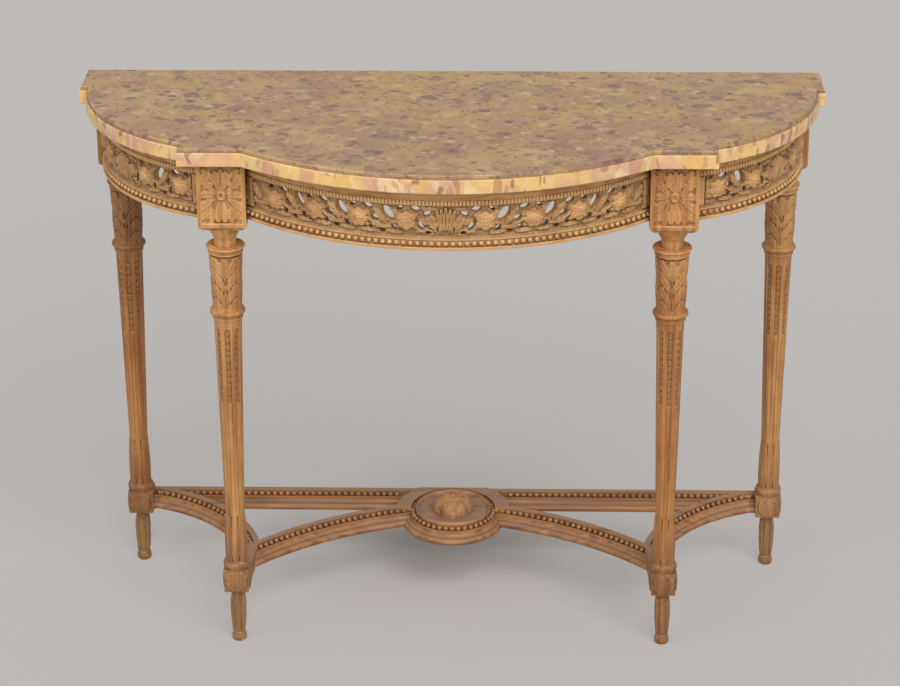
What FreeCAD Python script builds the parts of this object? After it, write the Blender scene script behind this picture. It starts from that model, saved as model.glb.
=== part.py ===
"""Pier table: a loose marble slab on a carved and pierced wooden frame.

Millimetres, +Z up, +Y towards the wall. The origin is on the floor under the middle of the slab.
Every piece is one solid, or one group of like pegs, and goes to its own file in parts/.
"""
import FreeCAD, Part
import math
import os

from FreeCAD import Vector

# Overall sizes
TABLE_HEIGHT = 890.0
TOP_WIDTH = 1212.0
TOP_DEPTH = 497.0
TOP_THICKNESS = 30.0

# Where the leg axes stand
BACK_LEG_END_INSET = 61.0
BACK_LEG_WALL_INSET = 40.0
FRONT_LEG_FRONT_INSET = 172.0
FRONT_LEG_END_INSET = 193.0

# Marble slab: outline past the frame, and its moulded edge
EAR_LENGTH = 90.0
SIDE_OVERHANG = 22.0
BLOCK_FRONT_OVERHANG = 20.0
BLOCK_END_OVERHANG = 27.0
BLOCK_INNER_SET = 4.0
LIP_HEIGHT = 7.0
LIP_INSET = 3.0
LIP_ROUND = 2.2
BELLY_ROUND = 2.0
UNDER_ROUND = 2.0

# Leg, from the floor up
FOOT_HEIGHT = 97.0
FOOT_PAD_RADIUS = 11.8
FOOT_PAD_HEIGHT = 6.0
FOOT_WAIST_RADIUS = 10.8
FOOT_WAIST_HEIGHT = 24.0
FOOT_BULGE_RADIUS = 13.0
FOOT_BULGE_HEIGHT = 56.0
FOOT_NECK_RADIUS = 12.2
BLOCK_SIZE = 43.0
BLOCK_HEIGHT = 40.0
BLOCK_CHAMFER = 1.5
BASE_RING_HEIGHT = 11.0
BASE_RING_RADIUS = 21.0
COLLAR_HEIGHT = 88.0
COLLAR_BASE_RADIUS = 17.4
COLLAR_BULGE_RADIUS = 18.5
COLLAR_BULGE_HEIGHT = 44.0
SHAFT_BASE_RADIUS = 15.5
SHAFT_TOP_RADIUS = 22.5
FLUTE_COUNT = 8
FLUTE_BASE_RADIUS = 3.3
FLUTE_TOP_RADIUS = 4.6
FLUTE_END_MARGIN = 9.0
FLUTE_STANDOFF = 1.0
RING_FILLET_HEIGHT = 4.0
RING_FILLET_RADIUS = 24.5
RING_HEIGHT = 15.0
RING_RADIUS = 28.5
CAPITAL_HEIGHT = 106.0
CAPITAL_BASE_RADIUS = 23.2
CAPITAL_TOP_RADIUS = 27.5
CAPITAL_RIM_RADIUS = 30.5
CAPITAL_RIM_HEIGHT = 3.0
NECK_HEIGHT = 23.0
NECK_RADIUS = 19.5
NECK_STRAIGHT = 5.0
NECK_FLARE_RADIUS = 31.0
DIE_CHAMFER = 7.0
DIE_SIZE = 76.0
DIE_HEIGHT = 108.0
PANEL_BORDER = 8.0
PANEL_DEPTH = 3.0

# Frieze rails: plan, section and carved field
FRIEZE_HEIGHT = 98.0
FRIEZE_THICKNESS = 34.0
FRONT_FRIEZE_OVERHANG = 18.0
FRONT_FRIEZE_SETBACK = 14.0
SIDE_FRIEZE_RADIUS = 292.0
SIDE_FRIEZE_FRONT_SETBACK = 17.0
SIDE_FRIEZE_BACK_SETBACK = 10.0
BASE_FILLET = 5.0
BEAD_BAND = 10.0
BEAD_SINK = 5.0
HOLLOW_HEIGHT = 4.0
HOLLOW_LIP = 2.5
FIELD_SINK = 8.0
FIELD_THICKNESS = 10.0
STRIP_HEIGHT = 9.0
STRIP_SINK = 6.0
CORNICE_HEIGHT = 18.5
CORNICE_FILLET = 8.0

# Carving of the field: flowers at a steady pitch with leaf-shaped piercings between them
FIRST_FLOWER = 61.0
FLOWER_PITCH = 76.0
FLOWER_RADIUS = 15.0
FLOWER_RELIEF = 6.0
FIELD_END_MARGIN = 10.0
PALMETTE_RELIEF = 4.0
PALMETTE_LEAF_LENGTH = 22.0
PALMETTE_LEAF_WIDTH = 7.5
PALMETTE_SPREAD = 26.0

# Hidden top frame
BACK_RAIL_HEIGHT = 90.0
BACK_RAIL_THICKNESS = 24.0
BACK_RAIL_SETBACK = 2.0
BEARER_WIDTH = 60.0
BEARER_HEIGHT = 22.0
BEARER_TONGUE_HEIGHT = 12.0
BEARER_TONGUE_LENGTH = 14.0

# Stretcher
STRETCHER_REVEAL = 5.0
STRETCHER_WIDTH = 31.0
TORUS_RADIUS = 5.5
MOULD_FILLET = 1.5
MOULD_STEP = 2.0
MOULD_HOLLOW = 6.0
BEAD_LEDGE = 3.0
BEAD_LIP = 1.0
BEAD_CHANNEL_WIDTH = 7.0
BEAD_CHANNEL_DEPTH = 2.0
SIDE_BAR_RADIUS = 251.0
SIDE_BAR_BACK_INSET = 30.0
SIDE_BAR_FRONT_INSET = 4.0
SIDE_BAR_FRONT_BEHIND = 60.0
HEAD_STRAIGHT = 18.0
HEAD_LENGTH = 66.0
FRONT_BAR_RADIUS = 537.0
FRONT_BAR_LEG_INSET = 22.0
FRONT_BAR_LEG_BEHIND = 51.0
FRONT_BAR_MEDALLION_REACH = 60.0
FRONT_BAR_MEDALLION_FORWARD = 12.0
MEDALLION_FORWARD = 60.0
MEDALLION_RADIUS = 86.0
MEDALLION_LIP_RADIUS = 63.0
MEDALLION_DISH_RADIUS = 58.0
MEDALLION_LIP_RISE = 4.0
MEDALLION_DISH_DEPTH = 6.0
SHOULDER_RADIUS = 98.0
SHOULDER_RISE = 1.5
SHOULDER_ROUND = 3.0
ROSETTE_RADIUS = 35.0
ROSETTE_HEIGHT = 19.0
ROSETTE_RIM = 4.0
ROSETTE_DOWEL_RADIUS = 6.0
ROSETTE_DOWEL_LENGTH = 14.0

# Joints
TENON_LENGTH = 24.0
TENON_THICKNESS = 14.0
TENON_SHOULDER = 10.0
TENON_ROOT = 3.0
STRETCHER_TENON_LENGTH = 20.0
STRETCHER_TENON_THICKNESS = 12.0
STRETCHER_TENON_HEIGHT = 13.0
STRETCHER_TENON_SHOULDER = 4.0
STRETCHER_TENON_INSET = 19.0
JOINT_CLEARANCE = 0.3
PEG_RADIUS = 3.2
PEG_LENGTH = 60.0
RAIL_PEG_LENGTH = 34.0
STRETCHER_PEG_LENGTH = 17.5
BLOCK_PEG_LENGTH = 32.0
PEG_SPACING = 44.0
PEG_PROUD = 0.6
PEG_CLEARANCE = 0.15

# Angle by which a curved bar is made too long before its ends are cut to what it meets
BOW_END_MARGIN = 12.0

# Share of a cove's or ovolo's run at which the middle point of its curve lies
COVE_BEND = 0.7

# Places worked out from the sizes above
FRAME_TOP = TABLE_HEIGHT - TOP_THICKNESS
TOP_BACK = TOP_DEPTH / 2
TOP_FRONT = -TOP_DEPTH / 2
BACK_LEG_X = TOP_WIDTH / 2 - BACK_LEG_END_INSET
BACK_LEG_Y = TOP_BACK - BACK_LEG_WALL_INSET
FRONT_LEG_X = BACK_LEG_X - FRONT_LEG_END_INSET
FRONT_LEG_Y = TOP_FRONT + FRONT_LEG_FRONT_INSET
HALF_DIE = DIE_SIZE / 2
HALF_BLOCK = BLOCK_SIZE / 2
BLOCK_TOP = FOOT_HEIGHT + BLOCK_HEIGHT
COLLAR_BOTTOM = BLOCK_TOP + BASE_RING_HEIGHT
SHAFT_BOTTOM = COLLAR_BOTTOM + COLLAR_HEIGHT
DIE_BOTTOM = FRAME_TOP - DIE_HEIGHT
NECK_BOTTOM = DIE_BOTTOM - DIE_CHAMFER - NECK_HEIGHT
CAPITAL_BOTTOM = NECK_BOTTOM - CAPITAL_HEIGHT
SHAFT_TOP = CAPITAL_BOTTOM - RING_HEIGHT - RING_FILLET_HEIGHT
FRIEZE_BOTTOM = FRAME_TOP - FRIEZE_HEIGHT
FIELD_BOTTOM = FRIEZE_BOTTOM + BASE_FILLET + BEAD_BAND + HOLLOW_LIP + HOLLOW_HEIGHT
FIELD_TOP = FRAME_TOP - CORNICE_HEIGHT - STRIP_HEIGHT
FIELD_MIDDLE = (FIELD_BOTTOM + FIELD_TOP) / 2
STRETCHER_BOTTOM = FOOT_HEIGHT + STRETCHER_REVEAL
STRETCHER_TOP = BLOCK_TOP - STRETCHER_REVEAL
STRETCHER_MIDDLE = (STRETCHER_BOTTOM + STRETCHER_TOP) / 2
BAR_FRONT = BACK_LEG_Y - STRETCHER_WIDTH / 2
MEDALLION_Y = BACK_LEG_Y - MEDALLION_FORWARD
DISH_FLOOR = STRETCHER_TOP + MEDALLION_LIP_RISE - MEDALLION_DISH_DEPTH

UP = Vector(0, 0, 1)
ORIGIN = Vector(0, 0, 0)


def line(start, end):
    """Straight edge."""
    return Part.makeLine(start, end)


def arc(start, middle, end):
    """Round edge through three points."""
    return Part.Arc(start, middle, end).toShape()


def box(low, high):
    """Box between its lowest and highest corners."""
    return Part.makeBox(high[0] - low[0], high[1] - low[1], high[2] - low[2], Vector(*low))


def rod(start, direction, radius, length):
    """Round rod from a point along a direction."""
    return Part.makeCylinder(radius, length, start, direction)


def turned(edges, axis=ORIGIN, start=0.0, sweep=360.0):
    """Solid of a section in the XZ plane, turned about a vertical axis through a point in plan."""
    solid = Part.Face(Part.Wire(edges)).revolve(ORIGIN, UP, sweep)
    solid.rotate(ORIGIN, UP, start)
    solid.translate(axis)
    return solid


def joined(solids):
    """One solid from solids that meet."""
    whole = solids[0].multiFuse(solids[1:]).removeSplitter()
    return whole.Solids[0] if len(whole.Solids) == 1 else whole


def mirrored(solid):
    """The same piece on the other side of the table."""
    return solid.mirror(ORIGIN, Vector(1, 0, 0))


def arc_centre(start, end, radius):
    """Centre of an arc that turns left from start to end in plan."""
    chord = end - start
    height = math.sqrt(radius ** 2 - (chord.Length / 2) ** 2)
    left = Vector(-chord.y, chord.x, 0).normalize()
    return (start + end) / 2 + left * height


def polar(centre, radius, degrees):
    """Point in plan at an angle from a centre."""
    turn = math.radians(degrees)
    return centre + Vector(radius * math.cos(turn), radius * math.sin(turn), 0)


def circles_meet(first, first_radius, second, second_radius):
    """Point in plan where two circles cross, on the right of the line from the first centre to the second."""
    apart = second - first
    along = (apart.Length ** 2 + first_radius ** 2 - second_radius ** 2) / (2 * apart.Length)
    across = math.sqrt(first_radius ** 2 - along ** 2)
    direction = Vector(apart).normalize()
    return first + direction * along + Vector(direction.y, -direction.x, 0) * across


def bearing(centre, point):
    """Angle in plan, in degrees, from a centre to a point."""
    return math.degrees(math.atan2(point.y - centre.y, point.x - centre.x))


def bearings(centre, start, end):
    """Angles in plan of two points, where the second is reached by turning left from the first."""
    first = bearing(centre, start)
    return first, first + (bearing(centre, end) - first) % 360


class Tenon:
    """Level tenon that starts at a point of a joint face and runs along a heading in plan."""

    def __init__(self, start, heading, length, thickness, low, high):
        self.start = start
        self.heading = heading
        self.length = length
        self.thickness = thickness
        self.low = low
        self.high = high

    def block(self, clearance=0.0):
        """The tenon with its root or, with a clearance, the mortise that takes it."""
        half = self.thickness / 2 + clearance
        low = (-TENON_ROOT, -half, self.low - clearance)
        high = (self.length + clearance, half, self.high + clearance)
        solid = box(low, high)
        solid.rotate(ORIGIN, UP, self.heading)
        solid.translate(self.start)
        return solid

    def point(self, along):
        """Point in plan on the tenon's middle line."""
        return polar(self.start, along, self.heading)


class Bow:
    """A rail's curved plan: the arc of its outer face, between two bearings."""

    def __init__(self, centre, radius, first, last):
        self.centre = centre
        self.radius = radius
        self.first = first
        self.last = last

    def at_x(self, x, inset):
        """Point in front of the centre where the arc, set in, crosses a line of one x."""
        reach = math.sqrt((self.radius - inset) ** 2 - (x - self.centre.x) ** 2)
        return Vector(x, self.centre.y - reach, 0)

    def at_y(self, y, inset):
        """Point right of the centre where the arc, set in, crosses a line of one y."""
        reach = math.sqrt((self.radius - inset) ** 2 - (y - self.centre.y) ** 2)
        return Vector(self.centre.x + reach, y, 0)

    def place(self, solid, along):
        """Move a solid from the local frame, X outward and Y along, to a length along the arc."""
        middle = (self.first + self.last) / 2
        turn = middle + math.degrees(along / self.radius)
        solid.rotate(ORIGIN, UP, turn)
        solid.translate(polar(self.centre, self.radius, turn))
        return solid


# Plan of the friezes and of the slab above them
FRONT_END_X = FRONT_LEG_X - HALF_DIE
FRONT_END_Y = FRONT_LEG_Y - HALF_DIE + FRONT_FRIEZE_SETBACK
FRONT_APEX = TOP_FRONT + FRONT_FRIEZE_OVERHANG
FRONT_RISE = FRONT_END_Y - FRONT_APEX
FRONT_RADIUS = (FRONT_END_X ** 2 + FRONT_RISE ** 2) / (2 * FRONT_RISE)
FRONT_SPAN = math.degrees(math.asin(FRONT_END_X / FRONT_RADIUS))
FRONT_BOW = Bow(Vector(0, FRONT_APEX + FRONT_RADIUS, 0), FRONT_RADIUS, -90 - FRONT_SPAN, -90 + FRONT_SPAN)

SIDE_FRONT_END = Vector(FRONT_LEG_X + HALF_DIE, FRONT_LEG_Y - HALF_DIE + SIDE_FRIEZE_FRONT_SETBACK, 0)
SIDE_BACK_END = Vector(BACK_LEG_X + HALF_DIE - SIDE_FRIEZE_BACK_SETBACK, BACK_LEG_Y - HALF_DIE, 0)
SIDE_CENTRE = arc_centre(SIDE_FRONT_END, SIDE_BACK_END, SIDE_FRIEZE_RADIUS)
SIDE_BOW = Bow(SIDE_CENTRE, SIDE_FRIEZE_RADIUS, *bearings(SIDE_CENTRE, SIDE_FRONT_END, SIDE_BACK_END))

# Plan of the stretcher bars on the right; each face arc turns about a centre outside the table
SIDE_BAR_BACK = Vector(BACK_LEG_X - SIDE_BAR_BACK_INSET, BAR_FRONT, 0)
SIDE_BAR_FRONT = Vector(FRONT_LEG_X - SIDE_BAR_FRONT_INSET, FRONT_LEG_Y + SIDE_BAR_FRONT_BEHIND, 0)
SIDE_BAR_CENTRE = arc_centre(SIDE_BAR_BACK, SIDE_BAR_FRONT, SIDE_BAR_RADIUS)
FRONT_BAR_LEG = Vector(FRONT_LEG_X - FRONT_BAR_LEG_INSET, FRONT_LEG_Y + FRONT_BAR_LEG_BEHIND, 0)
FRONT_BAR_INNER = Vector(FRONT_BAR_MEDALLION_REACH, MEDALLION_Y - FRONT_BAR_MEDALLION_FORWARD, 0)
FRONT_BAR_CENTRE = arc_centre(FRONT_BAR_LEG, FRONT_BAR_INNER, FRONT_BAR_RADIUS)
HEAD_CORNER = Vector(FRONT_LEG_X - HALF_BLOCK, FRONT_LEG_Y + HALF_BLOCK, 0)
CUSP = circles_meet(
    SIDE_BAR_CENTRE,
    SIDE_BAR_RADIUS + STRETCHER_WIDTH,
    FRONT_BAR_CENTRE,
    FRONT_BAR_RADIUS + STRETCHER_WIDTH,
)


def frieze_tenons():
    """Tenons of the right-hand frieze joints, by joint."""
    low = FRIEZE_BOTTOM + TENON_SHOULDER
    high = FRAME_TOP - TENON_SHOULDER
    inset = FIELD_SINK + FIELD_THICKNESS / 2
    sizes = (TENON_LENGTH, TENON_THICKNESS, low, high)
    rail_y = BACK_LEG_Y + HALF_DIE - BACK_RAIL_SETBACK - BACK_RAIL_THICKNESS / 2
    return {
        "front": Tenon(FRONT_BOW.at_x(FRONT_END_X, inset), 0, *sizes),
        "side_front": Tenon(SIDE_BOW.at_x(SIDE_FRONT_END.x, inset), 180, *sizes),
        "side_back": Tenon(SIDE_BOW.at_y(SIDE_BACK_END.y, inset), 90, *sizes),
        "back_rail": Tenon(Vector(BACK_LEG_X - HALF_DIE, rail_y, 0), 0, *sizes),
    }


def stretcher_tenons():
    """Tenons of the right-hand stretcher joints, by joint."""
    low = STRETCHER_BOTTOM + STRETCHER_TENON_SHOULDER
    high = low + STRETCHER_TENON_HEIGHT
    sizes = (STRETCHER_TENON_LENGTH, STRETCHER_TENON_THICKNESS, low, high)
    middle_radius = FRONT_BAR_RADIUS + STRETCHER_TENON_INSET
    toe = FRONT_BAR_LEG + (CUSP - FRONT_BAR_LEG) * (STRETCHER_TENON_INSET / STRETCHER_WIDTH)
    toe_turn = bearing(FRONT_BAR_CENTRE, toe)
    reach = MEDALLION_RADIUS - FRONT_BAR_CENTRE.x
    inner_turn = math.degrees(math.acos(reach / middle_radius))
    inner = polar(FRONT_BAR_CENTRE, middle_radius, inner_turn)
    side = Vector(SIDE_BAR_BACK.x - STRETCHER_WIDTH, BAR_FRONT + TORUS_RADIUS, 0)
    return {
        "back_bar": Tenon(Vector(BACK_LEG_X - HALF_BLOCK, BAR_FRONT + STRETCHER_TENON_INSET, 0), 0, *sizes),
        "leg": Tenon(Vector(FRONT_LEG_X, FRONT_LEG_Y + HALF_BLOCK, 0), -90, *sizes),
        "toe": Tenon(toe, toe_turn - 90, *sizes),
        "medallion": Tenon(inner, inner_turn + 90, 2 * STRETCHER_TENON_LENGTH, *sizes[1:]),
        "side": Tenon(side, 90, *sizes),
    }


FRIEZE_TENONS = frieze_tenons()
STRETCHER_TENONS = stretcher_tenons()
PEG_HEIGHTS = (
    FRAME_TOP - FRIEZE_HEIGHT / 2 - PEG_SPACING / 2,
    FRAME_TOP - FRIEZE_HEIGHT / 2 + PEG_SPACING / 2,
)


def frieze_pegs(clearance=0.0):
    """Right-hand pegs of the frieze tenons or, with a clearance, their holes."""
    radius = PEG_RADIUS + clearance
    pegs = []
    for height in PEG_HEIGHTS:
        for joint in ("front", "side_front"):
            across = FRIEZE_TENONS[joint].point(TENON_LENGTH / 2).x
            start = Vector(across, FRONT_LEG_Y + HALF_DIE + PEG_PROUD, height)
            pegs.append(rod(start, Vector(0, -1, 0), radius, PEG_LENGTH + clearance))
        across = FRIEZE_TENONS["side_back"].point(TENON_LENGTH / 2).y
        start = Vector(BACK_LEG_X - HALF_DIE - PEG_PROUD, across, height)
        pegs.append(rod(start, Vector(1, 0, 0), radius, PEG_LENGTH + clearance))
    return pegs


def back_rail_pegs(clearance=0.0):
    """Right-hand pegs of the back rail's tenon or, with a clearance, their holes."""
    across = FRIEZE_TENONS["back_rail"].point(TENON_LENGTH / 2).x
    back = BACK_LEG_Y + HALF_DIE + PEG_PROUD
    length = RAIL_PEG_LENGTH + clearance
    starts = [Vector(across, back, height) for height in PEG_HEIGHTS]
    return [rod(start, Vector(0, -1, 0), PEG_RADIUS + clearance, length) for start in starts]


def stretcher_pegs(clearance=0.0):
    """Right-hand pegs of the stretcher tenons or, with a clearance, their holes."""
    radius = PEG_RADIUS + clearance
    length = STRETCHER_PEG_LENGTH + clearance
    half = STRETCHER_TENON_LENGTH / 2
    bar = STRETCHER_TENONS["back_bar"].point(half)
    leg = STRETCHER_TENONS["leg"].point(half)
    level = STRETCHER_BOTTOM + STRETCHER_TENON_SHOULDER + STRETCHER_TENON_HEIGHT / 2
    bar_start = Vector(bar.x, BACK_LEG_Y + HALF_BLOCK + PEG_PROUD, level)
    leg_start = Vector(FRONT_LEG_X - HALF_BLOCK - PEG_PROUD, leg.y, level)
    pegs = [
        rod(bar_start, Vector(0, -1, 0), radius, BLOCK_PEG_LENGTH + clearance),
        rod(leg_start, Vector(1, 0, 0), radius, BLOCK_PEG_LENGTH + clearance),
    ]
    for joint in ("toe", "medallion", "side"):
        point = STRETCHER_TENONS[joint].point(half)
        pegs.append(rod(Vector(point.x, point.y, STRETCHER_BOTTOM - PEG_PROUD), UP, radius, length))
    return pegs


def slab_outline(inset=0.0):
    """Plan of the marble slab, set in all round, at the level of the leg frame's top."""
    centre = SIDE_BOW.centre
    end = TOP_WIDTH / 2 - inset
    back = TOP_BACK - inset
    ear_y = TOP_BACK - EAR_LENGTH + inset
    block_front = FRONT_LEG_Y - HALF_DIE - BLOCK_FRONT_OVERHANG
    block_y = block_front + inset
    block_out = FRONT_LEG_X + HALF_DIE + BLOCK_END_OVERHANG - inset
    block_in = FRONT_LEG_X - HALF_DIE + BLOCK_INNER_SET
    rise = block_front - TOP_FRONT
    front_radius = (block_in ** 2 + rise ** 2) / (2 * rise)
    front_edge = Bow(Vector(0, TOP_FRONT + front_radius, 0), front_radius, -90, -90)
    side_inset = inset - SIDE_OVERHANG
    curve_back = SIDE_BOW.at_y(ear_y, side_inset)
    curve_front = SIDE_BOW.at_x(block_out, side_inset)
    first, last = bearings(centre, curve_front, curve_back)
    corners = [
        Vector(end, back, 0),
        Vector(end, ear_y, 0),
        curve_back,
        curve_front,
        Vector(block_out, block_y, 0),
        front_edge.at_y(block_y, inset),
    ]
    across = [Vector(-point.x, point.y, 0) for point in corners]
    middle = polar(centre, SIDE_BOW.radius - side_inset, (first + last) / 2)
    return Part.Wire(
        [
            line(across[0], corners[0]),
            line(corners[0], corners[1]),
            line(corners[1], corners[2]),
            arc(corners[2], middle, corners[3]),
            line(corners[3], corners[4]),
            line(corners[4], corners[5]),
            arc(corners[5], Vector(0, TOP_FRONT + inset, 0), across[5]),
            line(across[5], across[4]),
            line(across[4], across[3]),
            arc(across[3], Vector(-middle.x, middle.y, 0), across[2]),
            line(across[2], across[1]),
            line(across[1], across[0]),
        ]
    )


def level_edges(solid, height):
    """Edges of a solid that lie at one height."""
    near = 1e-4
    flat = [edge for edge in solid.Edges if edge.BoundBox.ZLength < near]
    return [edge for edge in flat if abs(edge.BoundBox.ZMin - height) < near]


def marble_top():
    """Slab with a rounded belly, a quirk and a narrow lip round its top."""
    body_height = TOP_THICKNESS - LIP_HEIGHT
    body = Part.Face(slab_outline()).extrude(Vector(0, 0, body_height))
    body = body.makeFillet(BELLY_ROUND, level_edges(body, body_height))
    body = body.makeFillet(UNDER_ROUND, level_edges(body, 0))
    lip = Part.Face(slab_outline(LIP_INSET)).extrude(Vector(0, 0, LIP_HEIGHT))
    lip = lip.makeFillet(LIP_ROUND, level_edges(lip, LIP_HEIGHT))
    lip.translate(Vector(0, 0, body_height))
    slab = joined([body, lip])
    slab.translate(Vector(0, 0, FRAME_TOP))
    return slab


def at(radius, height):
    """Point of a turned section."""
    return Vector(radius, 0, height)


def foot():
    """Turned foot: pad, waist and bulb under the square block."""
    pad_edge = at(FOOT_PAD_RADIUS, FOOT_PAD_HEIGHT)
    neck = at(FOOT_NECK_RADIUS, FOOT_HEIGHT)
    waist = at(FOOT_WAIST_RADIUS, FOOT_WAIST_HEIGHT)
    bulge = at(FOOT_BULGE_RADIUS, FOOT_BULGE_HEIGHT)
    turn = (waist + bulge) / 2
    return turned(
        [
            line(at(0, 0), at(FOOT_PAD_RADIUS, 0)),
            line(at(FOOT_PAD_RADIUS, 0), pad_edge),
            arc(pad_edge, waist, turn),
            arc(turn, bulge, neck),
            line(neck, at(0, FOOT_HEIGHT)),
            line(at(0, FOOT_HEIGHT), at(0, 0)),
        ]
    )


def turned_stem():
    """Ring, collar, tapering shaft, upper ring, capital and neck, from the block to the die."""
    ring_middle = at(
        COLLAR_BASE_RADIUS + (BASE_RING_RADIUS - COLLAR_BASE_RADIUS) * COVE_BEND,
        BLOCK_TOP + BASE_RING_HEIGHT * COVE_BEND,
    )
    upper_half = RING_HEIGHT / 2
    upper_bottom = SHAFT_TOP + RING_FILLET_HEIGHT
    upper_root = RING_RADIUS - upper_half
    rim_top = NECK_BOTTOM
    rim_bottom = rim_top - CAPITAL_RIM_HEIGHT
    bell_top = rim_bottom - CAPITAL_RIM_HEIGHT
    neck_top = NECK_BOTTOM + NECK_STRAIGHT
    flare_top = DIE_BOTTOM - DIE_CHAMFER
    flare_middle = at(
        NECK_FLARE_RADIUS - (NECK_FLARE_RADIUS - NECK_RADIUS) * COVE_BEND,
        neck_top + (flare_top - neck_top) * COVE_BEND,
    )
    collar_bulge = at(COLLAR_BULGE_RADIUS, COLLAR_BOTTOM + COLLAR_BULGE_HEIGHT)
    return turned(
        [
            line(at(0, BLOCK_TOP), at(BASE_RING_RADIUS, BLOCK_TOP)),
            arc(at(BASE_RING_RADIUS, BLOCK_TOP), ring_middle, at(COLLAR_BASE_RADIUS, COLLAR_BOTTOM)),
            arc(at(COLLAR_BASE_RADIUS, COLLAR_BOTTOM), collar_bulge, at(SHAFT_BASE_RADIUS, SHAFT_BOTTOM)),
            line(at(SHAFT_BASE_RADIUS, SHAFT_BOTTOM), at(SHAFT_TOP_RADIUS, SHAFT_TOP)),
            line(at(SHAFT_TOP_RADIUS, SHAFT_TOP), at(RING_FILLET_RADIUS, SHAFT_TOP)),
            line(at(RING_FILLET_RADIUS, SHAFT_TOP), at(RING_FILLET_RADIUS, upper_bottom)),
            line(at(RING_FILLET_RADIUS, upper_bottom), at(upper_root, upper_bottom)),
            arc(
                at(upper_root, upper_bottom),
                at(RING_RADIUS, upper_bottom + upper_half),
                at(upper_root, CAPITAL_BOTTOM),
            ),
            line(at(upper_root, CAPITAL_BOTTOM), at(CAPITAL_BASE_RADIUS, CAPITAL_BOTTOM)),
            line(at(CAPITAL_BASE_RADIUS, CAPITAL_BOTTOM), at(CAPITAL_TOP_RADIUS, bell_top)),
            line(at(CAPITAL_TOP_RADIUS, bell_top), at(CAPITAL_RIM_RADIUS, rim_bottom)),
            line(at(CAPITAL_RIM_RADIUS, rim_bottom), at(CAPITAL_RIM_RADIUS, rim_top)),
            line(at(CAPITAL_RIM_RADIUS, rim_top), at(NECK_RADIUS, rim_top)),
            line(at(NECK_RADIUS, rim_top), at(NECK_RADIUS, neck_top)),
            arc(at(NECK_RADIUS, neck_top), flare_middle, at(NECK_FLARE_RADIUS, flare_top)),
            line(at(NECK_FLARE_RADIUS, flare_top), at(0, flare_top)),
            line(at(0, flare_top), at(0, BLOCK_TOP)),
        ]
    )


def flutes():
    """Tapered cutters with round ends, one for each flute of the shaft."""
    low = SHAFT_BOTTOM + FLUTE_END_MARGIN
    high = SHAFT_TOP - FLUTE_END_MARGIN
    slope = (SHAFT_TOP_RADIUS - SHAFT_BASE_RADIUS) / (SHAFT_TOP - SHAFT_BOTTOM)
    bottom = at(SHAFT_BASE_RADIUS + slope * FLUTE_END_MARGIN + FLUTE_STANDOFF, low)
    top = at(SHAFT_TOP_RADIUS - slope * FLUTE_END_MARGIN + FLUTE_STANDOFF, high)
    run = top - bottom
    cutters = []
    for index in range(FLUTE_COUNT):
        groove = Part.makeCone(FLUTE_BASE_RADIUS, FLUTE_TOP_RADIUS, run.Length, bottom, run)
        ends = [Part.makeSphere(FLUTE_BASE_RADIUS, bottom), Part.makeSphere(FLUTE_TOP_RADIUS, top)]
        for cutter in [groove] + ends:
            cutter.rotate(ORIGIN, UP, 360 * (index + 0.5) / FLUTE_COUNT)
            cutters.append(cutter)
    return cutters


def square(half, height):
    """Square wire round the leg axis."""
    corners = [Vector(x * half, y * half, height) for x, y in ((1, 1), (-1, 1), (-1, -1), (1, -1))]
    return Part.makePolygon(corners + corners[:1])


def plain_leg():
    """Leg on its own axis, before its panel and mortises are cut."""
    block = box((-HALF_BLOCK, -HALF_BLOCK, FOOT_HEIGHT), (HALF_BLOCK, HALF_BLOCK, BLOCK_TOP))
    block = block.makeChamfer(BLOCK_CHAMFER, block.Edges)
    die = box((-HALF_DIE, -HALF_DIE, DIE_BOTTOM), (HALF_DIE, HALF_DIE, FRAME_TOP))
    taper = Part.makeLoft(
        [square(HALF_DIE - DIE_CHAMFER, DIE_BOTTOM - DIE_CHAMFER), square(HALF_DIE, DIE_BOTTOM)], True, True
    )
    stem = turned_stem().cut(Part.makeCompound(flutes()))
    return joined([foot(), block, stem, taper, die])


def die_panel(facing):
    """Cutter of the sunk panel on the die face that looks along an angle in plan."""
    half = HALF_DIE - PANEL_BORDER
    cutter = box(
        (HALF_DIE - PANEL_DEPTH, -half, DIE_BOTTOM + PANEL_BORDER),
        (HALF_DIE + PANEL_DEPTH, half, FRAME_TOP - PANEL_BORDER),
    )
    cutter.rotate(ORIGIN, UP, facing)
    return cutter


def front_leg(blank):
    """Right front leg, with mortises for both friezes and for the side stretcher."""
    leg = blank.cut(die_panel(-90))
    leg.translate(Vector(FRONT_LEG_X, FRONT_LEG_Y, 0))
    tenons = [FRIEZE_TENONS["front"], FRIEZE_TENONS["side_front"], STRETCHER_TENONS["leg"]]
    holes = frieze_pegs(PEG_CLEARANCE) + stretcher_pegs(PEG_CLEARANCE)
    return leg.cut(Part.makeCompound([tenon.block(JOINT_CLEARANCE) for tenon in tenons] + holes)).Solids[0]


def back_leg(blank):
    """Right back leg, with mortises for the side frieze, the back rail and the back stretcher."""
    leg = blank.cut(die_panel(0))
    leg.translate(Vector(BACK_LEG_X, BACK_LEG_Y, 0))
    tenons = [FRIEZE_TENONS["side_back"], FRIEZE_TENONS["back_rail"], STRETCHER_TENONS["back_bar"]]
    holes = frieze_pegs(PEG_CLEARANCE) + back_rail_pegs(PEG_CLEARANCE) + stretcher_pegs(PEG_CLEARANCE)
    return leg.cut(Part.makeCompound([tenon.block(JOINT_CLEARANCE) for tenon in tenons] + holes)).Solids[0]


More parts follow.
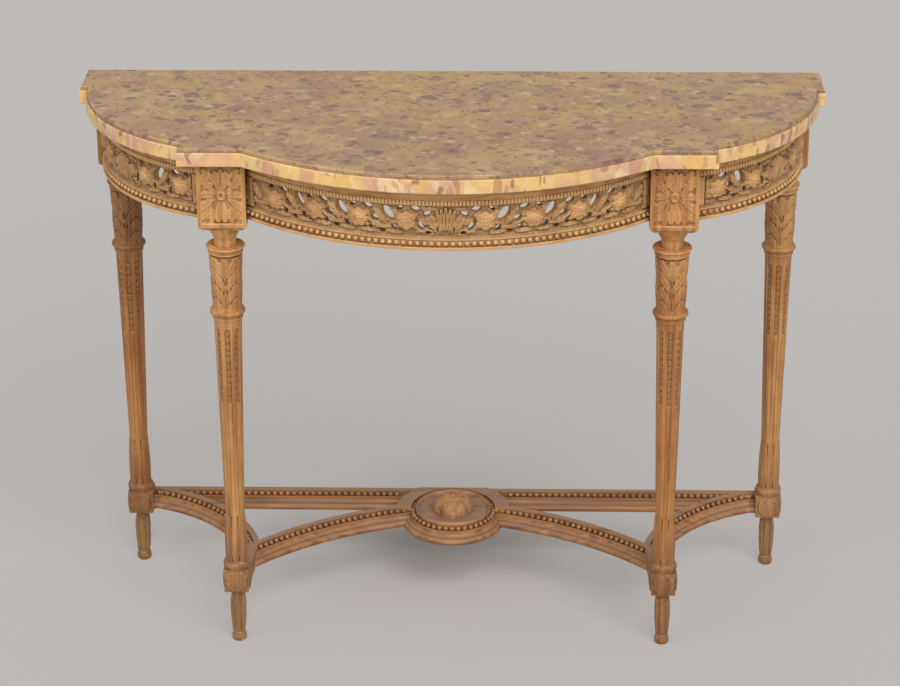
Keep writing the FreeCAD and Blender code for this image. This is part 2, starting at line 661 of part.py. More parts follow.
def frieze_section(radius):
    """Edges of a frieze rail's section: base fillet, bead channel, hollow, field, strip and cornice."""

    def point(inset, height):
        return at(radius - inset, height)

    channel_bottom = FRIEZE_BOTTOM + BASE_FILLET
    channel_top = channel_bottom + BEAD_BAND
    hollow_bottom = channel_top + HOLLOW_LIP
    strip_top = FIELD_TOP + STRIP_HEIGHT
    cornice_top = FRAME_TOP - CORNICE_FILLET
    back = FRIEZE_THICKNESS
    field_back = FIELD_SINK + FIELD_THICKNESS
    hollow_middle = point(
        HOLLOW_LIP + (FIELD_SINK - HOLLOW_LIP) * COVE_BEND,
        FIELD_BOTTOM - HOLLOW_HEIGHT * COVE_BEND,
    )
    cornice_middle = point(STRIP_SINK * COVE_BEND, strip_top + (cornice_top - strip_top) * COVE_BEND)
    return [
        line(point(back, FRIEZE_BOTTOM), point(0, FRIEZE_BOTTOM)),
        line(point(0, FRIEZE_BOTTOM), point(0, channel_bottom)),
        line(point(0, channel_bottom), point(BEAD_SINK, channel_bottom)),
        line(point(BEAD_SINK, channel_bottom), point(BEAD_SINK, channel_top)),
        line(point(BEAD_SINK, channel_top), point(HOLLOW_LIP, channel_top)),
        line(point(HOLLOW_LIP, channel_top), point(HOLLOW_LIP, hollow_bottom)),
        arc(point(HOLLOW_LIP, hollow_bottom), hollow_middle, point(FIELD_SINK, FIELD_BOTTOM)),
        line(point(FIELD_SINK, FIELD_BOTTOM), point(FIELD_SINK, FIELD_TOP)),
        line(point(FIELD_SINK, FIELD_TOP), point(STRIP_SINK, FIELD_TOP)),
        line(point(STRIP_SINK, FIELD_TOP), point(STRIP_SINK, strip_top)),
        arc(point(STRIP_SINK, strip_top), cornice_middle, point(0, cornice_top)),
        line(point(0, cornice_top), point(0, FRAME_TOP)),
        line(point(0, FRAME_TOP), point(back, FRAME_TOP)),
        line(point(back, FRAME_TOP), point(back, FIELD_TOP)),
        line(point(back, FIELD_TOP), point(field_back, FIELD_TOP)),
        line(point(field_back, FIELD_TOP), point(field_back, FIELD_BOTTOM)),
        line(point(field_back, FIELD_BOTTOM), point(back, FIELD_BOTTOM)),
        line(point(back, FIELD_BOTTOM), point(back, FRIEZE_BOTTOM)),
    ]


def frieze_rail(bow):
    """Curved rail along a bow, a little past both its ends."""
    start = bow.first - BOW_END_MARGIN
    sweep = bow.last - bow.first + 2 * BOW_END_MARGIN
    return turned(frieze_section(bow.radius), bow.centre, start, sweep)


def leaf(length, width, lean, rise, front, depth):
    """Leaf-shaped prism in the local frame of a bow, pointed at both ends and leaning from level."""
    turn = math.radians(lean)
    along = Vector(0, math.cos(turn), math.sin(turn)) * (length / 2)
    across = Vector(0, -math.sin(turn), math.cos(turn)) * (width / 2)
    centre = Vector(front, 0, FIELD_MIDDLE + rise)
    outline = Part.Wire(
        [
            arc(centre - along, centre + across, centre + along),
            arc(centre + along, centre - across, centre - along),
        ]
    )
    return Part.Face(outline).extrude(Vector(-depth, 0, 0))


# Piercings beside a flower and between two flowers, mirrored about the table's middle:
# offset along the rail, rise from the field's middle, length, width and lean
BESIDE_FLOWER = (
    (-13.5, 18.0, 16.0, 9.0, 8.0),
    (11.0, 19.0, 10.0, 6.0, -20.0),
)
BETWEEN_FLOWERS = (
    (-9.0, 9.5, 28.0, 15.0, 50.0),
    (13.0, 0.5, 13.0, 9.0, 20.0),
    (-18.0, -12.5, 11.0, 7.0, 60.0),
    (17.0, -13.0, 10.0, 6.0, -50.0),
    (1.0, -19.5, 10.0, 5.5, 0.0),
)
BESIDE_PALMETTE = (
    (29.0, 11.0, 14.0, 9.0, -45.0),
    (39.0, -9.0, 14.0, 8.0, 60.0),
    (27.0, -19.5, 9.0, 5.0, 0.0),
)


def flower_places(bow):
    """Lengths along a bow, from its middle, where its right-hand flowers stand."""
    half = bow.radius * math.radians(bow.last - bow.first) / 2
    room = half - FIRST_FLOWER - FLOWER_RADIUS - FIELD_END_MARGIN
    return [FIRST_FLOWER + FLOWER_PITCH * index for index in range(int(room / FLOWER_PITCH) + 1)]


def piercings(bow):
    """Leaf-shaped cutters through the field on both sides of a bow's middle."""
    holes = list(BESIDE_PALMETTE)
    for place in flower_places(bow):
        holes += [(place + hole[0],) + hole[1:] for hole in BESIDE_FLOWER]
    for place in flower_places(bow)[1:]:
        holes += [(place - FLOWER_PITCH / 2 + hole[0],) + hole[1:] for hole in BETWEEN_FLOWERS]
    depth = FIELD_SINK + FIELD_THICKNESS + FRIEZE_THICKNESS
    cutters = []
    for side in (-1, 1):
        for along, rise, length, width, lean in holes:
            cutter = leaf(length, width, side * lean, rise, 0, depth)
            cutters.append(bow.place(cutter, side * along))
    return cutters


def flower(bow, along):
    """Low domed boss on the field, where a flower is carved."""
    ball_radius = (FLOWER_RADIUS ** 2 + FLOWER_RELIEF ** 2) / (2 * FLOWER_RELIEF)
    depth = FIELD_THICKNESS / 2
    face = -FIELD_SINK
    rim = Vector(face, 0, 0) + Vector(0, 0, FLOWER_RADIUS)
    crest = Vector(face + FLOWER_RELIEF, 0, 0)
    half_turn = math.asin(FLOWER_RADIUS / ball_radius) / 2
    middle = Vector(crest.x - ball_radius * (1 - math.cos(half_turn)), 0, ball_radius * math.sin(half_turn))
    root = Vector(face - depth, 0, 0)
    edges = [
        line(root, crest),
        arc(crest, middle, rim),
        line(rim, rim - Vector(depth, 0, 0)),
        line(rim - Vector(depth, 0, 0), root),
    ]
    boss = Part.Face(Part.Wire(edges)).revolve(ORIGIN, Vector(1, 0, 0), 360)
    boss.translate(Vector(0, 0, FIELD_MIDDLE))
    return bow.place(boss, along)


def palmette(bow):
    """Fan of leaves in relief at the middle of a field."""
    reach = PALMETTE_LEAF_LENGTH / 2
    front = PALMETTE_RELIEF - FIELD_SINK
    depth = PALMETTE_RELIEF + FIELD_THICKNESS / 2
    leaves = []
    for step in (-2, -1, 0, 1, 2):
        lean = 90 - step * PALMETTE_SPREAD
        turn = math.radians(lean)
        blade = leaf(PALMETTE_LEAF_LENGTH, PALMETTE_LEAF_WIDTH, lean, 0, front, depth)
        blade.translate(Vector(0, math.cos(turn), math.sin(turn) - 1) * reach)
        leaves.append(bow.place(blade, 0))
    return leaves


def carved(rail, bow):
    """Rail with its piercings cut and its flowers and palmette raised."""
    pierced = rail.cut(Part.makeCompound(piercings(bow)))
    bosses = palmette(bow)
    for place in flower_places(bow):
        bosses += [flower(bow, -place), flower(bow, place)]
    return pierced.fuse(bosses)


def front_frieze():
    """Bowed front rail with a tenon at each end and a notch for the bearer."""
    reach = TOP_DEPTH
    between_dies = box((-FRONT_END_X, -reach, 0), (FRONT_END_X, reach, TABLE_HEIGHT))
    rail = frieze_rail(FRONT_BOW).common(between_dies)
    rail = carved(rail, FRONT_BOW)
    tenon = FRIEZE_TENONS["front"].block()
    rail = rail.fuse([tenon, mirrored(tenon)])
    holes = frieze_pegs(PEG_CLEARANCE)
    holes += [mirrored(hole) for hole in holes]
    return rail.cut(Part.makeCompound(holes + [bearer_tongues()])).removeSplitter().Solids[0]


def side_frieze():
    """Curved right-hand rail from the front die's outer face to the back die's front face."""
    between_dies = box(
        (SIDE_FRONT_END.x, -TOP_DEPTH, 0),
        (TOP_WIDTH, SIDE_BACK_END.y, TABLE_HEIGHT),
    )
    rail = frieze_rail(SIDE_BOW).common(between_dies)
    rail = carved(rail, SIDE_BOW)
    rail = rail.fuse([FRIEZE_TENONS["side_front"].block(), FRIEZE_TENONS["side_back"].block()])
    return rail.cut(Part.makeCompound(frieze_pegs(PEG_CLEARANCE))).removeSplitter().Solids[0]


def back_rail():
    """Plain rail between the back dies, with a tenon at each end and a notch for the bearer."""
    back = BACK_LEG_Y + HALF_DIE - BACK_RAIL_SETBACK
    end = BACK_LEG_X - HALF_DIE
    rail = box((-end, back - BACK_RAIL_THICKNESS, FRAME_TOP - BACK_RAIL_HEIGHT), (end, back, FRAME_TOP))
    tenon = FRIEZE_TENONS["back_rail"].block()
    holes = back_rail_pegs(PEG_CLEARANCE)
    holes += [mirrored(hole) for hole in holes]
    rail = joined([rail, tenon, mirrored(tenon)])
    return rail.cut(Part.makeCompound(holes + [bearer_tongues()])).Solids[0]


def bearer_tongues():
    """Upper layer of the bearer, which is let into the front frieze and the back rail."""
    half = BEARER_WIDTH / 2
    front = FRONT_APEX + FRIEZE_THICKNESS - BEARER_TONGUE_LENGTH
    back = BACK_LEG_Y + HALF_DIE - BACK_RAIL_SETBACK - BACK_RAIL_THICKNESS + BEARER_TONGUE_LENGTH
    return box((-half, front, FRAME_TOP - BEARER_TONGUE_HEIGHT), (half, back, FRAME_TOP))


def top_bearer():
    """Batten under the slab, with shoulders that follow the front frieze and meet the back rail."""
    half = BEARER_WIDTH / 2
    back = BACK_LEG_Y + HALF_DIE - BACK_RAIL_SETBACK - BACK_RAIL_THICKNESS
    body = box((-half, FRONT_APEX, FRAME_TOP - BEARER_HEIGHT), (half, back, FRAME_TOP))
    inside_bow = Part.makeCylinder(FRONT_RADIUS - FRIEZE_THICKNESS, TABLE_HEIGHT, FRONT_BOW.centre)
    return joined([body.common(inside_bow), bearer_tongues()])


def moulding(place):
    """Edges of a stretcher's moulded side, from torus to bead channel; place maps inset and rise to a point."""
    torus_top = 2 * TORUS_RADIUS
    step = TORUS_RADIUS + MOULD_FILLET
    hollow_low = torus_top + MOULD_STEP
    hollow_high = hollow_low + MOULD_HOLLOW
    ledge = step + MOULD_HOLLOW
    lip_top = hollow_high + BEAD_LEDGE
    channel_floor = lip_top - BEAD_CHANNEL_DEPTH
    channel_start = ledge + BEAD_LIP
    channel_end = channel_start + BEAD_CHANNEL_WIDTH
    top = STRETCHER_TOP - STRETCHER_BOTTOM
    bend = MOULD_HOLLOW * math.sqrt(0.5)
    return [
        arc(place(TORUS_RADIUS, 0), place(0, TORUS_RADIUS), place(TORUS_RADIUS, torus_top)),
        line(place(TORUS_RADIUS, torus_top), place(step, torus_top)),
        line(place(step, torus_top), place(step, hollow_low)),
        arc(place(step, hollow_low), place(step + bend, hollow_high - bend), place(ledge, hollow_high)),
        line(place(ledge, hollow_high), place(ledge, lip_top)),
        line(place(ledge, lip_top), place(channel_start, lip_top)),
        line(place(channel_start, lip_top), place(channel_start, channel_floor)),
        line(place(channel_start, channel_floor), place(channel_end, channel_floor)),
        line(place(channel_end, channel_floor), place(channel_end, top)),
    ]


def bar_section(place):
    """Closed edges of a stretcher bar's section."""
    top = STRETCHER_TOP - STRETCHER_BOTTOM
    edges = moulding(place)
    channel_end = edges[-1].Vertexes[-1].Point
    return edges + [
        line(channel_end, place(STRETCHER_WIDTH, top)),
        line(place(STRETCHER_WIDTH, top), place(STRETCHER_WIDTH, 0)),
        line(place(STRETCHER_WIDTH, 0), place(TORUS_RADIUS, 0)),
    ]


def curved_bar(centre, radius, first, last):
    """Moulded bar whose face arc lies at a radius about a centre, between two bearings."""

    def place(inset, rise):
        return at(radius + inset, STRETCHER_BOTTOM + rise)

    return turned(bar_section(place), centre, first, last - first)


def straight_bar():
    """Moulded back bar between the back leg blocks, with a tenon at each end."""
    end = BACK_LEG_X - HALF_BLOCK

    def place(inset, rise):
        return Vector(-end, BAR_FRONT + inset, STRETCHER_BOTTOM + rise)

    bar = Part.Face(Part.Wire(bar_section(place))).extrude(Vector(2 * end, 0, 0))
    tenon = STRETCHER_TENONS["back_bar"].block()
    return joined([bar, tenon, mirrored(tenon)])


def medallion_blank():
    """Moulded round block with a dished top, and a broad shoulder outside the beads of its back half."""

    def place(inset, rise):
        return at(MEDALLION_RADIUS - inset, STRETCHER_BOTTOM + rise)

    edges = moulding(place)
    rim = edges[-1].Vertexes[-1].Point
    lip = at(MEDALLION_LIP_RADIUS, STRETCHER_TOP + MEDALLION_LIP_RISE)
    dish = at(MEDALLION_DISH_RADIUS, DISH_FLOOR)
    floor = at(0, DISH_FLOOR)
    base = at(0, STRETCHER_BOTTOM)
    axis = Vector(0, MEDALLION_Y, 0)
    disc = turned(
        edges
        + [
            line(rim, lip),
            line(lip, dish),
            line(dish, floor),
            line(floor, base),
            line(base, place(TORUS_RADIUS, 0)),
        ],
        axis,
    )
    inner = MEDALLION_RADIUS - TORUS_RADIUS - MOULD_FILLET - MOULD_HOLLOW - BEAD_LIP
    shoulder_top = STRETCHER_TOP + SHOULDER_RISE
    bend = SHOULDER_ROUND * (1 - math.sqrt(0.5))
    side_top = at(SHOULDER_RADIUS, shoulder_top - SHOULDER_ROUND)
    round_middle = at(SHOULDER_RADIUS - bend, shoulder_top - bend)
    round_end = at(SHOULDER_RADIUS - SHOULDER_ROUND, shoulder_top)
    shoulder = turned(
        [
            line(at(inner, STRETCHER_BOTTOM), at(SHOULDER_RADIUS, STRETCHER_BOTTOM)),
            line(at(SHOULDER_RADIUS, STRETCHER_BOTTOM), side_top),
            arc(side_top, round_middle, round_end),
            line(round_end, at(inner, shoulder_top)),
            line(at(inner, shoulder_top), at(inner, STRETCHER_BOTTOM)),
        ],
        axis,
        0,
        180,
    )
    past_bar = box((-TOP_WIDTH, BAR_FRONT + STRETCHER_WIDTH, 0), (TOP_WIDTH, TOP_WIDTH, TABLE_HEIGHT))
    return joined([disc, shoulder.cut(past_bar)])


def back_stretcher(blank):
    """Back bar, halved where the medallion laps over it and mortised for the side bars."""
    upper = box((-TOP_WIDTH, -TOP_DEPTH, STRETCHER_MIDDLE), (TOP_WIDTH, TOP_DEPTH, STRETCHER_TOP))
    mortise = STRETCHER_TENONS["side"].block(JOINT_CLEARANCE)
    holes = stretcher_pegs(PEG_CLEARANCE)
    holes += [mirrored(hole) for hole in holes]
    cutters = [blank.common(upper), mortise, mirrored(mortise)] + holes
    return straight_bar().cut(Part.makeCompound(cutters)).Solids[0]


def stretcher_medallion(blank, back_bar):
    """Round block, lapped over the back bar and mortised for the front bars and the rosette's dowel."""
    mortise = STRETCHER_TENONS["medallion"].block(JOINT_CLEARANCE)
    dowel_hole = rod(
        Vector(0, MEDALLION_Y, DISH_FLOOR),
        Vector(0, 0, -1),
        ROSETTE_DOWEL_RADIUS + PEG_CLEARANCE,
        ROSETTE_DOWEL_LENGTH + JOINT_CLEARANCE,
    )
    holes = stretcher_pegs(PEG_CLEARANCE)
    holes += [mirrored(hole) for hole in holes]
    cutters = [back_bar, mortise, mirrored(mortise), dowel_hole] + holes
    return blank.cut(Part.makeCompound(cutters)).Solids[0]


def stretcher_head():
    """Broad front end of a side bar, behind the front leg's block."""
    height = Vector(0, 0, STRETCHER_TOP - STRETCHER_BOTTOM)
    back_face = FRONT_LEG_Y + HALF_BLOCK
    outer = FRONT_LEG_X + HALF_BLOCK
    straight_end = Vector(outer, back_face + HEAD_STRAIGHT, STRETCHER_BOTTOM)
    turn = bearing(SIDE_BAR_CENTRE, Vector(CUSP.x, back_face + HEAD_LENGTH, 0))
    blend_end = polar(SIDE_BAR_CENTRE, SIDE_BAR_RADIUS + TORUS_RADIUS, turn)
    blend_end.z = STRETCHER_BOTTOM
    blend_middle = (straight_end + blend_end) / 2 - Vector(0, TORUS_RADIUS, 0)
    corner = Vector(HEAD_CORNER.x, HEAD_CORNER.y, STRETCHER_BOTTOM)
    cusp = Vector(CUSP.x, CUSP.y, STRETCHER_BOTTOM)
    outline = Part.Wire(
        [
            line(corner, Vector(outer, back_face, STRETCHER_BOTTOM)),
            line(Vector(outer, back_face, STRETCHER_BOTTOM), straight_end),
            arc(straight_end, blend_middle, blend_end),
            line(blend_end, cusp),
            line(cusp, corner),
        ]
    )
    return Part.Face(outline).extrude(height)


def toe_side():
    """Space on the table's inner side of the plane where a front bar meets the side bar's head."""
    heading = bearing(HEAD_CORNER, CUSP)
    space = box((-TOP_DEPTH, 0, 0), (TOP_DEPTH, TOP_WIDTH, TABLE_HEIGHT))
    space.rotate(ORIGIN, UP, heading)
    space.translate(HEAD_CORNER)
    return space


def largest(shape):
    """The main solid of a shape that was cut through."""
    return max(shape.Solids, key=lambda solid: solid.Volume)


def side_bar():
    """Curved right-hand bar, scribed to the back bar, with its head against the front leg's block."""
    first, last = bearings(SIDE_BAR_CENTRE, SIDE_BAR_BACK, SIDE_BAR_FRONT)
    bar = curved_bar(SIDE_BAR_CENTRE, SIDE_BAR_RADIUS, first - BOW_END_MARGIN, last)
    bar = bar.cut(toe_side().common(near_front()))
    return largest(joined([bar, stretcher_head()]).cut(straight_bar()))


def side_stretcher(bar):
    """Right-hand side bar with its tenons, and mortised for the front bar."""
    bar = joined([bar, STRETCHER_TENONS["leg"].block(), STRETCHER_TENONS["side"].block()])
    cutters = [STRETCHER_TENONS["toe"].block(JOINT_CLEARANCE)] + stretcher_pegs(PEG_CLEARANCE)
    return bar.cut(Part.makeCompound(cutters)).Solids[0]


def near_front():
    """Space in front of the cusp between the front bar and the side bar."""
    return box((-TOP_WIDTH, -TOP_DEPTH, 0), (TOP_WIDTH, CUSP.y, TABLE_HEIGHT))


def front_stretcher(blank, neighbour):
    """Curved right-hand bar from the side bar's head to the medallion, with a tenon at each end."""
    first, last = bearings(FRONT_BAR_CENTRE, FRONT_BAR_LEG, FRONT_BAR_INNER)
    bar = curved_bar(FRONT_BAR_CENTRE, FRONT_BAR_RADIUS, first - BOW_END_MARGIN, last)
    bar = largest(bar.common(toe_side()).cut(blank).cut(neighbour))
    bar = joined([bar, STRETCHER_TENONS["toe"].block(), STRETCHER_TENONS["medallion"].block()])
    return bar.cut(Part.makeCompound(stretcher_pegs(PEG_CLEARANCE))).Solids[0]


def medallion_rosette():
    """Domed boss with a dowel that stands in the medallion's dish."""
    rim = at(ROSETTE_RADIUS, DISH_FLOOR)
    rim_top = at(ROSETTE_RADIUS, DISH_FLOOR + ROSETTE_RIM)
    rise = ROSETTE_HEIGHT - ROSETTE_RIM
    ball_radius = (ROSETTE_RADIUS ** 2 + rise ** 2) / (2 * rise)
    half_turn = math.asin(ROSETTE_RADIUS / ball_radius) / 2
    crest = at(0, DISH_FLOOR + ROSETTE_HEIGHT)
    shoulder = at(ball_radius * math.sin(half_turn), crest.z - ball_radius * (1 - math.cos(half_turn)))
    base = DISH_FLOOR - ROSETTE_DOWEL_LENGTH
    return turned(
        [
            line(at(0, base), at(ROSETTE_DOWEL_RADIUS, base)),
            line(at(ROSETTE_DOWEL_RADIUS, base), at(ROSETTE_DOWEL_RADIUS, DISH_FLOOR)),
            line(at(ROSETTE_DOWEL_RADIUS, DISH_FLOOR), rim),
            line(rim, rim_top),
            arc(rim_top, shoulder, crest),
            line(crest, at(0, base)),
        ],
        Vector(0, MEDALLION_Y, 0),
    )


def both_sides(solids):
    """Group of separate solids on both sides of the table."""
    return Part.makeCompound(solids + [mirrored(solid) for solid in solids])


def pieces():
    """Every piece of the table, by name."""
    leg = plain_leg()
    blank = medallion_blank()
    back_bar = back_stretcher(blank)
    side = side_bar()
    right = {
        "front_right_leg": front_leg(leg),
        "back_right_leg": back_leg(leg),
        "right_frieze": side_frieze(),
        "right_side_stretcher": side_stretcher(side),
        "right_front_stretcher": front_stretcher(blank, side),
    }
    table = {
        "marble_top": marble_top(),
        "front_frieze": front_frieze(),
        "back_rail": back_rail(),
        "top_bearer": top_bearer(),
        "back_stretcher": back_bar,
        "stretcher_medallion": stretcher_medallion(blank, back_bar),
        "medallion_rosette": medallion_rosette(),
        "frieze_pegs": both_sides(frieze_pegs()),
        "back_rail_pegs": both_sides(back_rail_pegs()),
        "stretcher_pegs": both_sides(stretcher_pegs()),
    }
    for name, solid in right.items():
        table[name] = solid
        table[name.replace("right", "left")] = mirrored(solid)
    return table


def main():
    """Write one file for each piece."""
    os.makedirs("parts", exist_ok=True)
    for name, shape in pieces().items():
        shape.exportStep(f"parts/{name}.step")


main()
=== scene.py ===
"""Looks of the pier table: carved and pierced wood under a breccia slab.

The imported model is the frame: metres, +Z up, +Y towards the wall. Each piece made here stands where the frame
has its node. Carving is worked out in millimetres, as heights over the surface that the carver starts from.
"""

import logging
import math
from collections.abc import Callable, Iterable, Sequence
from dataclasses import dataclass, replace
from enum import Enum
from typing import Self

import bmesh
import bpy
import numpy as np
from mathutils import Matrix, Vector


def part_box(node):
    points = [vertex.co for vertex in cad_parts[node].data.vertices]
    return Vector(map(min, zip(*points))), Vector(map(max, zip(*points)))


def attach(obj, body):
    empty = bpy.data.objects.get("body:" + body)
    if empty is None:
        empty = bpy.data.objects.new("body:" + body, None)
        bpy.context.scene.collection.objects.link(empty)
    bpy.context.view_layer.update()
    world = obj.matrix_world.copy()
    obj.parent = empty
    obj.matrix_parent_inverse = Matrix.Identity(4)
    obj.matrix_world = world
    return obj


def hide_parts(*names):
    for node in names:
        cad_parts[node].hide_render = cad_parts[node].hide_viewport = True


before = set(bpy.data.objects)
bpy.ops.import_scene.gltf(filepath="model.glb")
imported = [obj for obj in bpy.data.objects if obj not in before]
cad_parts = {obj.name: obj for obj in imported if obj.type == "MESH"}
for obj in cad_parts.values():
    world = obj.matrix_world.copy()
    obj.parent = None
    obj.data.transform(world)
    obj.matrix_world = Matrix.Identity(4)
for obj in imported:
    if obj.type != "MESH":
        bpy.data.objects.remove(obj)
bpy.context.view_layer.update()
LOG = logging.getLogger("pier_table")

MM = 0.001
SAME_POINT = 0.001 * MM
NOTHING = -1.0e3
MIRROR = np.array([-1.0, 1.0, 1.0])
SLAB_BOTTOM = 0.86
# Name of the point attribute that holds painted shade, darker deeper in the carving
SHADE = "shade"
BODY = "root"

Array = np.ndarray
Point = tuple[float, float]
Triple = tuple[float, float, float]
Colour = tuple[float, float, float, float]
Outline = Callable[[Array], Array]
Material = bpy.types.Material
Piece = bpy.types.Object
Socket = bpy.types.NodeSocket


class Face(Enum):
    """Sides of a square block, by the way they look in plan, in degrees."""

    FRONT = -90
    RIGHT = 0
    BACK = 90
    LEFT = 180


class Grain(Enum):
    """How the wood's grain runs, as a stretch of the coordinates."""

    UPRIGHT = (1.0, 1.0, 0.05)
    ACROSS = (0.05, 1.0, 1.0)


def paint(code: str) -> Colour:
    """Turn a colour as seen on a screen into the linear one that a shader takes.

    Args:
        code: Red, green and blue, each as two hexadecimal digits.

    Returns:
        Linear red, green and blue, with an alpha of 1.
    """
    shares = [value / 255 for value in bytes.fromhex(code)]
    linear = [share / 12.92 if share <= 0.04045 else ((share + 0.055) / 1.055) ** 2.4 for share in shares]
    return (*linear, 1.0)


def palette(codes: str) -> tuple[Colour, ...]:
    """Give several colours, written one after the other."""
    return tuple(paint(code) for code in codes.split())


def blend(low: float, high: float, value: Array) -> Array:
    """Rise smoothly from 0 at low to 1 at high."""
    run = np.clip((value - low) / (high - low), 0.0, 1.0)
    return run * run * (3 - 2 * run)


def dome(square: Array) -> Array:
    """Give a half-round's height by the square of the distance from its middle."""
    return np.sqrt(np.clip(1 - square, 0.0, 1.0))


def ridge(off: Array, width: float) -> Array:
    """Give the height of a soft ridge at distances from its crest."""
    return np.exp(-((off / width) ** 2))


@dataclass(frozen=True)
class Placed:
    """A carved form at a place on a flat field, given along the field and across it."""

    at: Point

    def offsets(self, x: Array, y: Array, lean: float = 0.0) -> tuple[Array, Array]:
        """Find how far points lie from the place.

        Args:
            x: Places along the field.
            y: Places across the field.
            lean: Direction that counts as ahead, in degrees from the field's long axis.

        Returns:
            Distances ahead, and to the left of that direction.
        """
        turn = math.radians(lean)
        right = x - self.at[0]
        rise = y - self.at[1]
        return right * math.cos(turn) + rise * math.sin(turn), rise * math.cos(turn) - right * math.sin(turn)

    def moved(self, along: float) -> Self:
        """Give the same form further along."""
        return replace(self, at=(self.at[0] + along, self.at[1]))

    def mirrored(self) -> Self:
        """Give the form mirrored about the field's upright middle line."""
        return replace(self, at=(-self.at[0], self.at[1]))


@dataclass(frozen=True)
class Leaf(Placed):
    """A carved leaf that stands on its place, with a midrib that may bend.

    Attributes:
        heading: Direction of the midrib at the foot, in degrees from the field's long axis.
        length: Length along the midrib.
        width: Greatest width.
        bend: Angle by which the midrib turns left on the way to the tip, in degrees.
        height: Relief at the crown.
        lobes: Scallops along each edge; none on a plain blade.
        fullness: How blunt the leaf is: small for a full leaf, large for a slim one.
        curl: How much the leaf rises towards its tip.
        veining: Depth of the side veins.
        belly: Share of the length at which the leaf is widest.
    """

    heading: float
    length: float
    width: float
    bend: float = 0.0
    height: float = 4.0
    lobes: int = 4
    fullness: float = 0.75
    curl: float = 0.35
    veining: float = 0.28
    belly: float = 0.42

    def places(self, x: Array, y: Array) -> tuple[Array, Array]:
        """Find where points lie along the midrib and beside it.

        Args:
            x: Places along the field.
            y: Places across the field.

        Returns:
            Share of the leaf's length, and the distance from the midrib, above nought on its left.
        """
        ahead, left = self.offsets(x, y, self.heading)
        if not self.bend:
            return ahead / self.length, left
        sweep = abs(math.radians(self.bend))
        side = math.copysign(1.0, self.bend)
        radius = self.length / sweep
        inward = radius - side * left
        return np.arctan2(ahead, inward) / sweep, side * (radius - np.hypot(ahead, inward))

    def edge(self, run: Array) -> Array:
        """Give half the leaf's width.

        Args:
            run: Shares of the leaf's length.

        Returns:
            Half the width at each of them.
        """
        stretch = math.log(0.5) / math.log(self.belly)
        half = self.width / 2 * np.clip(np.sin(np.pi * run ** stretch), 0.0, 1.0) ** self.fullness
        if self.lobes:
            half = half * (0.8 + 0.2 * np.abs(np.sin(np.pi * self.lobes * run)))
        return half

    def crown(self, run: Array, off: Array, across: Array) -> Array:
        """Give the relief inside the leaf.

        Args:
            run: Share of the leaf's length.
            off: Distance from the midrib.
            across: Share of the way from the midrib to the edge.

        Returns:
            Heights over the field.
        """
        rib = ridge(off, 0.08 * self.width + 0.25)
        rise = (0.4 + 0.6 * dome(across ** 2)) * (1 - self.curl + self.curl * run) - 0.3 * rib
        if self.lobes:
            veins = 0.5 + 0.5 * np.cos(2 * np.pi * self.lobes * (run - 0.35 * across))
            rise = rise - self.veining * veins * across
        return self.height * rise

    def heights(self, x: Array, y: Array) -> Array:
        """Carve the leaf.

        Args:
            x: Places along the field.
            y: Places across the field.

        Returns:
            Relief at the points, far below the field outside the leaf.
        """
        share, off = self.places(x, y)
        run = np.clip(share, 0.0, 1.0)
        across = np.abs(off) / np.maximum(self.edge(run), 1e-6)
        inside = (share > 0) & (share < 1) & (across < 1)
        return np.where(inside, self.crown(run, off, across), NOTHING)

    def mirrored(self) -> Self:
        """Give the leaf mirrored about the field's upright middle line."""
        return replace(super().mirrored(), heading=180 - self.heading, bend=-self.bend)


@dataclass(frozen=True)
class Bloom(Placed):
    """A carved open flower with two rings of petals round a button.

    Attributes:
        radius: Reach of the outer petals.
        petals: Petals in each ring.
        height: Relief at the button.
        start: Bearing of the first outer petal, in degrees.
        disc: Reach of the plain disc under the petals, as a share of the radius.
        button: Reach of the button, as a share of the radius.
    """

    radius: float
    petals: int = 6
    height: float = 5.0
    start: float = 90.0
    disc: float = 0.84
    button: float = 0.22

    def ring(self, x: Array, y: Array, reach: float, start: float, rise: float) -> Array:
        """Give one ring of domed petals.

        Args:
            x: Places along the field from the button, as shares of the flower's radius.
            y: Places across the field from the button, as shares of the flower's radius.
            reach: Outer reach of the petals.
            start: Bearing of the first petal.
            rise: Relief of the ring, as a share of the flower's.

        Returns:
            Relief as a share of the flower's.
        """
        pitch = math.tau / self.petals
        turn = (np.arctan2(y, x) - start + pitch / 2) % pitch - pitch / 2
        away = np.hypot(x, y)
        middle = 0.56 * reach
        ahead = (away * np.cos(turn) - middle) / (0.45 * reach)
        beside = away * np.sin(turn) / (1.6 * middle * math.sin(pitch / 2))
        past = ahead ** 2 + beside ** 2
        return np.where(past < 1, rise * (0.42 + 0.58 * dome(past) - 0.16 * ridge(beside, 0.16)), NOTHING)

    def heights(self, x: Array, y: Array) -> Array:
        """Carve the flower.

        Args:
            x: Places along the field.
            y: Places across the field.

        Returns:
            Relief at the points, far below the field outside the flower.
        """
        right, up = (away / self.radius for away in self.offsets(x, y))
        first = math.radians(self.start)
        away = np.hypot(right, up)
        disc = np.where(away < self.disc, 0.46, NOTHING)
        outer = self.ring(right, up, 1.0, first, 0.72)
        inner = self.ring(right, up, 0.58, first + math.pi / self.petals, 0.92)
        heart = np.where(away < self.button, 0.72 + 0.28 * dome((away / self.button) ** 2), NOTHING)
        return self.height * np.maximum.reduce([disc, outer, inner, heart])

    def mirrored(self) -> Self:
        """Give the flower mirrored about the field's upright middle line."""
        return replace(super().mirrored(), start=180 - self.start)


